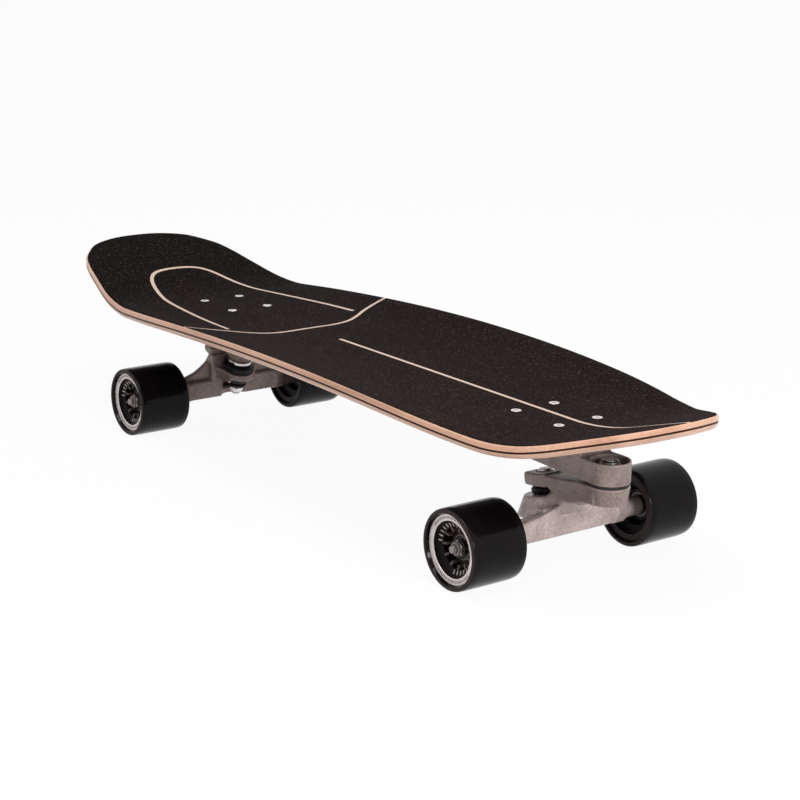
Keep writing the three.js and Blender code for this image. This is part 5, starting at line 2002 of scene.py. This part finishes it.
@dataclass
class FrontTruck(Truck):
    """The swing-arm truck: a base with an upright pivot, an arm, and the hanger under it."""

    swing_x: float = 52.5
    head_radius: float = 17.2
    half_width: float = 17
    base_tail: Pair = (-38.5, 12.8)
    base_bottom: float = 49.6
    rim: float = 68.1
    bowl_radius: float = 15
    bowl_floor: float = 10.5
    washer_bore: float = 13.3
    base_recess: float = 6
    arm_recess: float = 6.6
    bolt_room: float = 5.3
    bolt_radius: float = 5
    bolt_pitch: float = 1.3
    bolt_flat: float = 17
    bolt_head: float = 4.4
    bolt_head_room: float = 10.1
    bolt_nut: float = 7.4
    recess_floor: float = 4
    kingpin_head_room: float = 8.7
    cup_room: float = 13.1
    slide_ring: float = 0.9
    slide_ring_width: float = 3
    arm_top: float = 47.05
    arm_drop: float = 15.4
    belly: tuple[Pair, ...] = (
        (0, 0.61), (0.12, 0.545), (0.215, 0.35), (0.32, 0.156), (0.43, 0.09), (0.585, 0.156), (0.77, 0.415),
        (0.92, 0.5), (1, 0.5),
    )
    ring_shoulder: float = 24
    bridge_top: float = -3.5
    # The front hanger takes the lighter copy of the cast aluminium, painted light.
    hanger_finish: Metal = Finishes.CAST_PAINTED_LIT

    def base(self) -> Shell:
        """Cast the base: flange, round-nosed body and the bowl over its pivot.

        Returns:
            The base's skin.
        """
        c = Casting((-62, -32, self.base_bottom - 4), (76, 32, self.height + 4))
        (tail_x, tail), head = self.base_tail, self.head_radius
        around, bottom = np.hypot(c.x - self.swing_x, c.y), self.base_bottom
        taper = [(tail_x, -tail), (self.swing_x, -head), (self.swing_x, head), (tail_x, tail)]
        plan = np.minimum(polygon(c.x, c.y, taper), around - head)
        c.add(raised(plan, c.z, bottom, self.rim, 0.8))
        shoulder = self.swing_x - head
        half = tail + (head - tail) * (shoulder - tail_x) / (self.swing_x - tail_x)
        upper = polygon(c.x, c.y, [(tail_x, -tail), (shoulder, -half), (shoulder, half), (tail_x, tail)])
        c.add(raised(upper, c.z, bottom, self.height, 0.8), 1.5)
        self.add_plate(c, 5)
        c.keep(c.z - self.height)
        c.cut(raised(around - self.washer_bore, c.z, bottom - 20, bottom + self.base_recess))
        c.cut(raised(around - self.bowl_radius, c.z, bottom + self.bowl_floor, self.height + 20, 0.5), 0.8)
        c.cut(around - self.bolt_room + 0 * c.z)
        self.drill(c)
        return c.skin()

    def arm(self) -> Shell:
        """Cast the arm: head, belly, kingpin block and pivot housing.

        Returns:
            The arm's skin.
        """
        s, wide = self.steering, self.half_width
        c = Casting((-44, -20, 12), (74, 20, 52))
        u, w = c.turned(s.place, -s.lean)
        block_top = s.seat + 8.4
        plate = polygon(u, c.y, [(-14, -12.6), (2, -wide), (17, -wide), (17, wide), (2, wide), (-14, 12.6)])
        c.add(raised(plate, w, s.seat - 2.8, block_top, 2.0))
        start, bottom = s.x + 8.5, self.arm_top - self.arm_drop
        run, drop = self.swing_x - start, self.arm_drop
        under = [(start + a * run, bottom + (b - 0.5) * drop) for a, b in self.belly]
        spine_top = s.z + block_top * math.cos(s.lean) + 8.5 * math.tan(s.lean)
        shoulder = self.swing_x - self.head_radius
        spine = [(self.swing_x, self.arm_top), (shoulder, self.arm_top), (start, spine_top)]
        c.add(raised(polygon(c.x, c.z, [*under, *spine]), c.y, -wide, wide, 2.2), 3)
        around = np.hypot(c.x - self.swing_x, c.y)
        head = [(-FAR, bottom), (15, bottom), (self.head_radius, self.arm_top), (-FAR, self.arm_top)]
        c.add(polygon(around, c.z, head), 2)
        a, b = self.add_housing(c, 4)
        c.keep(np.minimum(np.maximum(np.abs(c.y) - wide, c.x - self.swing_x), around - self.head_radius))
        c.keep(c.z - self.arm_top)
        c.cut(raised(around - self.washer_bore, c.z, self.arm_top - self.arm_recess, 90))
        c.cut(around - self.bolt_room + 0 * c.z)
        bolt_seat = self.arm_top - self.arm_recess - self.recess_floor
        c.cut(raised(around - self.bolt_head_room, c.z, -40, bolt_seat), 1)
        self.clear_pivot(c, a, b)
        rho = np.hypot(u, c.y)
        c.cut(rho - self.kingpin_hole)
        c.cut(raised(rho - self.kingpin_head_room, w, s.seat + 5, 90), 1)
        c.cut(raised(rho - self.cup_room, w, -40, s.seat))
        return c.skin()

    def build_column(self) -> None:
        """Build the pivot's bolt, nut and thrust washers."""
        move = self.matrix @ Matrix.Translation((self.swing_x, 0, 0))
        radius, pitch, flat, gap = self.bolt_radius, self.bolt_pitch, self.bolt_flat, self.steering.gap
        seat = self.arm_top - self.arm_recess - self.recess_floor - gap
        nut_seat = self.base_bottom + self.bowl_floor + gap
        top = nut_seat + self.bolt_nut
        shank = revolved([
            (0, seat - 2), (radius, seat - 2), (radius, nut_seat - 2),
            *thread(nut_seat - 1, top - 0.8, radius, pitch), (radius - 1, top), (0, top + 0.1),
        ], THREAD_SIDES)
        head, cuts = hex_nut(flat, seat - self.bolt_head, seat, collar_below=True)
        self.put("pivot_screw", "pivot_bolt", head, Finishes.ZINC, "board", move, (*cuts, (shank, Cut.JOIN)))
        nut, cuts = hex_nut(flat, nut_seat, top)
        cuts = (*cuts, (rod(radius + 0.06, seat, top + 9), Cut.TAKE_OUT))
        self.put("pivot_lock_nut", "pivot_nut", nut, Finishes.ZINC, "board", move, cuts)
        bore, rim, thick = self.washer_bore, self.washer_bore + self.slide_ring_width, self.slide_ring
        for place, body, over in (("lower", "front_arm", 0.25), ("upper", "board", 1.4)):
            low = self.arm_top + over
            high = low + thick
            ring = rounded([(bore, low, 0), (rim, low, 0.2), (rim, high, 0.2), (bore, high, 0)])
            skin = revolved(ring, RING_SIDES)
            # The slide rings wear the dark copy of the bearing steel, painted shade.
            self.put(f"slide_ring_{place}", f"thrust_washer_{place}", skin, Finishes.STEEL_PAINTED_SHADE, body, move)

    def build(self) -> None:
        """Build the whole front truck."""
        self.cast("base", "base", self.base(), "board")
        self.cast("arm", "swing_arm", self.arm(), "front_arm")
        self.build_column()
        self.build_shared()
        dress("front_pivot_sleeve", Finishes.STEEL)
        dress("front_centring_spring", Finishes.SPRING)


@dataclass
class RearTruck(Truck):
    """The fixed truck: a base with the kingpin's boss and the pivot's housing, and the hanger."""

    ring_shoulder: float = 25.5
    ring_edge: float = 16.4
    pocket_top: float = -1.4
    bushing_radii: Triple = (14.6, 15.4, 12.4)
    kingpin_head_room: float = 9.3
    boss: Pair = (11.4, 15.5)
    boss_rise: float = 6
    post_half: Pair = (4.5, 8)
    web_half: float = 9
    web_height: float = 20
    # The rear hanger takes its own lighter copy of the cast aluminium, painted light.
    hanger_finish: Metal = Finishes.CAST_REAR_PAINTED_LIT

    def base(self) -> Shell:
        """Cast the base: flange, boss, web and pivot housing.

        Returns:
            The base's skin.
        """
        s = self.steering
        c = Casting((-62, -32, 14), (52, 32, self.height + 4))
        self.add_plate(c)
        u, w = c.turned(s.place, -s.lean)
        rho = np.hypot(u, c.y)
        foot, wide = self.boss
        boss = [(-FAR, s.seat), (foot, s.seat), (wide, s.seat + self.boss_rise), (wide, 80), (-FAR, 80)]
        c.add(polygon(rho, w, boss), 5)
        a, b = self.add_housing(c, 2)
        along = self.housing[0] + 5.5
        hx, hz = s.x + along * math.cos(s.rise), s.z + along * math.sin(s.rise)
        thick, half = self.post_half
        post = np.maximum(np.abs(c.x - hx - thick) - thick, np.abs(c.y) - half)
        c.add(raised(post, c.z, hz, self.height, 1.0), 3)
        far = hx + self.housing_radius / 2
        web = np.maximum(np.abs(c.x - (s.x + far) / 2) - (far - s.x) / 2, np.abs(c.y) - self.web_half)
        c.add(raised(web, c.z, self.height - self.web_height, self.height, 1.0), 5)
        c.keep(c.z - self.height)
        self.clear_pivot(c, a, b)
        c.cut(rho - self.kingpin_hole)
        c.cut(raised(rho - self.kingpin_head_room, w, s.seat + 5, 120), 1)
        self.drill(c)
        return c.skin()

    def build(self) -> None:
        """Build the whole rear truck."""
        self.cast("base", "base", self.base(), "board")
        self.build_shared()


def dress(node: str, finish: Finish) -> None:
    """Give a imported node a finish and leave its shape.

    Args:
        node: The node's name.
        finish: Its finish.
    """
    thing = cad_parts[node]
    thing.data.materials.clear()
    thing.data.materials.append(Finishes.get(finish))
    LOG.info("%s: keeps its packed shape", node)


# Studio


@dataclass
class Studio:
    """Pale floor, soft lamps, white surroundings and the camera."""

    camera_place: Triple = (1.4228, -1.00356, 0.55179)
    azimuth: float = math.radians(53.56)
    elevation: float = math.radians(15.4)
    roll: float = math.radians(0.68)
    lens: float = 86.395
    sensor: float = 36
    floor_half: float = 14
    floor_grey: float = 0.93
    floor_white: float = 0.94
    world_level: float = 0.42
    aim: Triple = (0, 0, 0.1)
    lamps: tuple[tuple[str, Triple, float, float], ...] = (
        ("over", (0.6, -0.35, 2.3), 1.2, 28.0),
        ("key", (2.5, -0.1, 1.0), 0.6, 26.0),
    )

    def whitened(self, tree: bpy.types.NodeTree, plain: Socket, white: Socket, level: float = 1.0) -> Socket:
        """Show plain white to the rays that are seen, mirrored or let through.

        Args:
            tree: The node tree to work in.
            plain: The shader that lights the board.
            white: The shader that those rays meet.
            level: How much of it they meet.

        Returns:
            The mixed shader.
        """
        path = tree.nodes.new("ShaderNodeLightPath").outputs
        share = path["Is Camera Ray"]
        for name in ("Is Glossy Ray", "Is Transmission Ray"):
            share = add_node(tree, "Math", {0: share, 1: path[name]}, operation="MAXIMUM")
        if level != 1:
            share = add_node(tree, "Math", {0: share, 1: level}, operation="MULTIPLY")
        return add_node(tree, "MixShader", {0: share, 1: plain, 2: white})

    def build_world(self) -> None:
        """Light the scene evenly from all round, and show plain white behind the board."""
        world = bpy.data.worlds.new("surroundings")
        world.use_nodes = True
        tree = world.node_tree
        lamp = tree.nodes["Background"]
        fill(tree, lamp, {"Color": (1, 0.995, 0.985, 1), "Strength": self.world_level})
        white = add_node(tree, "Background", {"Color": (1, 1, 1, 1)})
        fill(tree, tree.nodes["World Output"], {0: self.whitened(tree, lamp.outputs[0], white)})
        bpy.context.scene.world = world

    def build_floor(self) -> None:
        """Lay a pale floor that keeps a soft shadow."""
        h, grey = self.floor_half, self.floor_grey
        mesh = bpy.data.meshes.new("floor")
        mesh.from_pydata([(-h, -h, 0), (h, -h, 0), (h, h, 0), (-h, h, 0)], [], [(0, 1, 2, 3)])
        floor = placed("floor", mesh)
        material = bpy.data.materials.new("floor_paper")
        material.use_nodes = True
        tree = material.node_tree
        shader = tree.nodes["Principled BSDF"]
        fill(tree, shader, {"Base Color": (grey, grey, grey, 1), "Roughness": 0.9, "Specular IOR Level": 0.0})
        glow = add_node(tree, "Emission", {"Color": (1, 1, 1, 1)})
        mixed = self.whitened(tree, shader.outputs[0], glow, self.floor_white)
        fill(tree, tree.nodes["Material Output"], {0: mixed})
        mesh.materials.append(material)

    def build_lamps(self) -> None:
        """Hang a large soft lamp over the board and a smaller one before its nose."""
        for name, place, size, power in self.lamps:
            light = bpy.data.lights.new(name, "AREA")
            light.size = size
            light.energy = power
            lamp = placed(name, light)
            lamp.location = place
            lamp.rotation_euler = (Vector(self.aim) - Vector(place)).to_track_quat("-Z", "Y").to_euler()
    def build_camera(self) -> None:
        """Set the camera where the photograph was taken from."""
        a, e, r = self.azimuth, self.elevation, self.roll
        back = Vector((math.sin(a) * math.cos(e), -math.cos(a) * math.cos(e), math.sin(e)))
        right = Vector((math.cos(a), math.sin(a), 0))
        up = back.cross(right)
        leaned = right * math.cos(r) + up * math.sin(r)
        upright = up * math.cos(r) - right * math.sin(r)
        lens = bpy.data.cameras.new("camera")
        lens.lens = self.lens
        lens.sensor_width = self.sensor
        camera = placed("camera", lens)
        columns = (leaned, upright, back, Vector(self.camera_place))
        rows = [[column[i] for column in columns] for i in range(3)]
        camera.matrix_world = Matrix((*rows, (0, 0, 0, 1)))
        bpy.context.scene.camera = camera

    def build(self) -> None:
        """Build the whole studio."""
        bpy.context.scene.view_settings.view_transform = "Standard"
        self.build_camera()
        self.build_world()
        self.build_floor()
        self.build_lamps()


def main() -> None:
    """Build the studio and the board's pieces in order."""
    logging.basicConfig(level=logging.INFO, format="%(message)s")
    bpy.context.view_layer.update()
    Studio().build()
    Deck().build()
    front_wings = ((0.75, 0.4), (0.6, 0.43), (0.376, 0.58), (0.23, 0.74), (0.12, 0.9))
    rear_wings = (
        (0.75, 0.45), (0.64, 0.74), (0.5, 0.93), (0.41, 1.15), (0.32, 1.44), (0.27, 1.76), (0.235, 2.08),
        (0.21, 2.14),
    )
    front = Steering(-20.5, 15.5, math.radians(11), math.radians(22), 8.4, 7, 7.8)
    rear = Steering(-17.2, 16.5, math.radians(15), math.radians(23), 11, 1.5, -1.5)
    FrontTruck(End.FRONT, 294, 0, front, front_wings).build()
    RearTruck(End.REAR, -235, math.pi, rear, rear_wings).build()


if __name__ == "__main__":
    main()
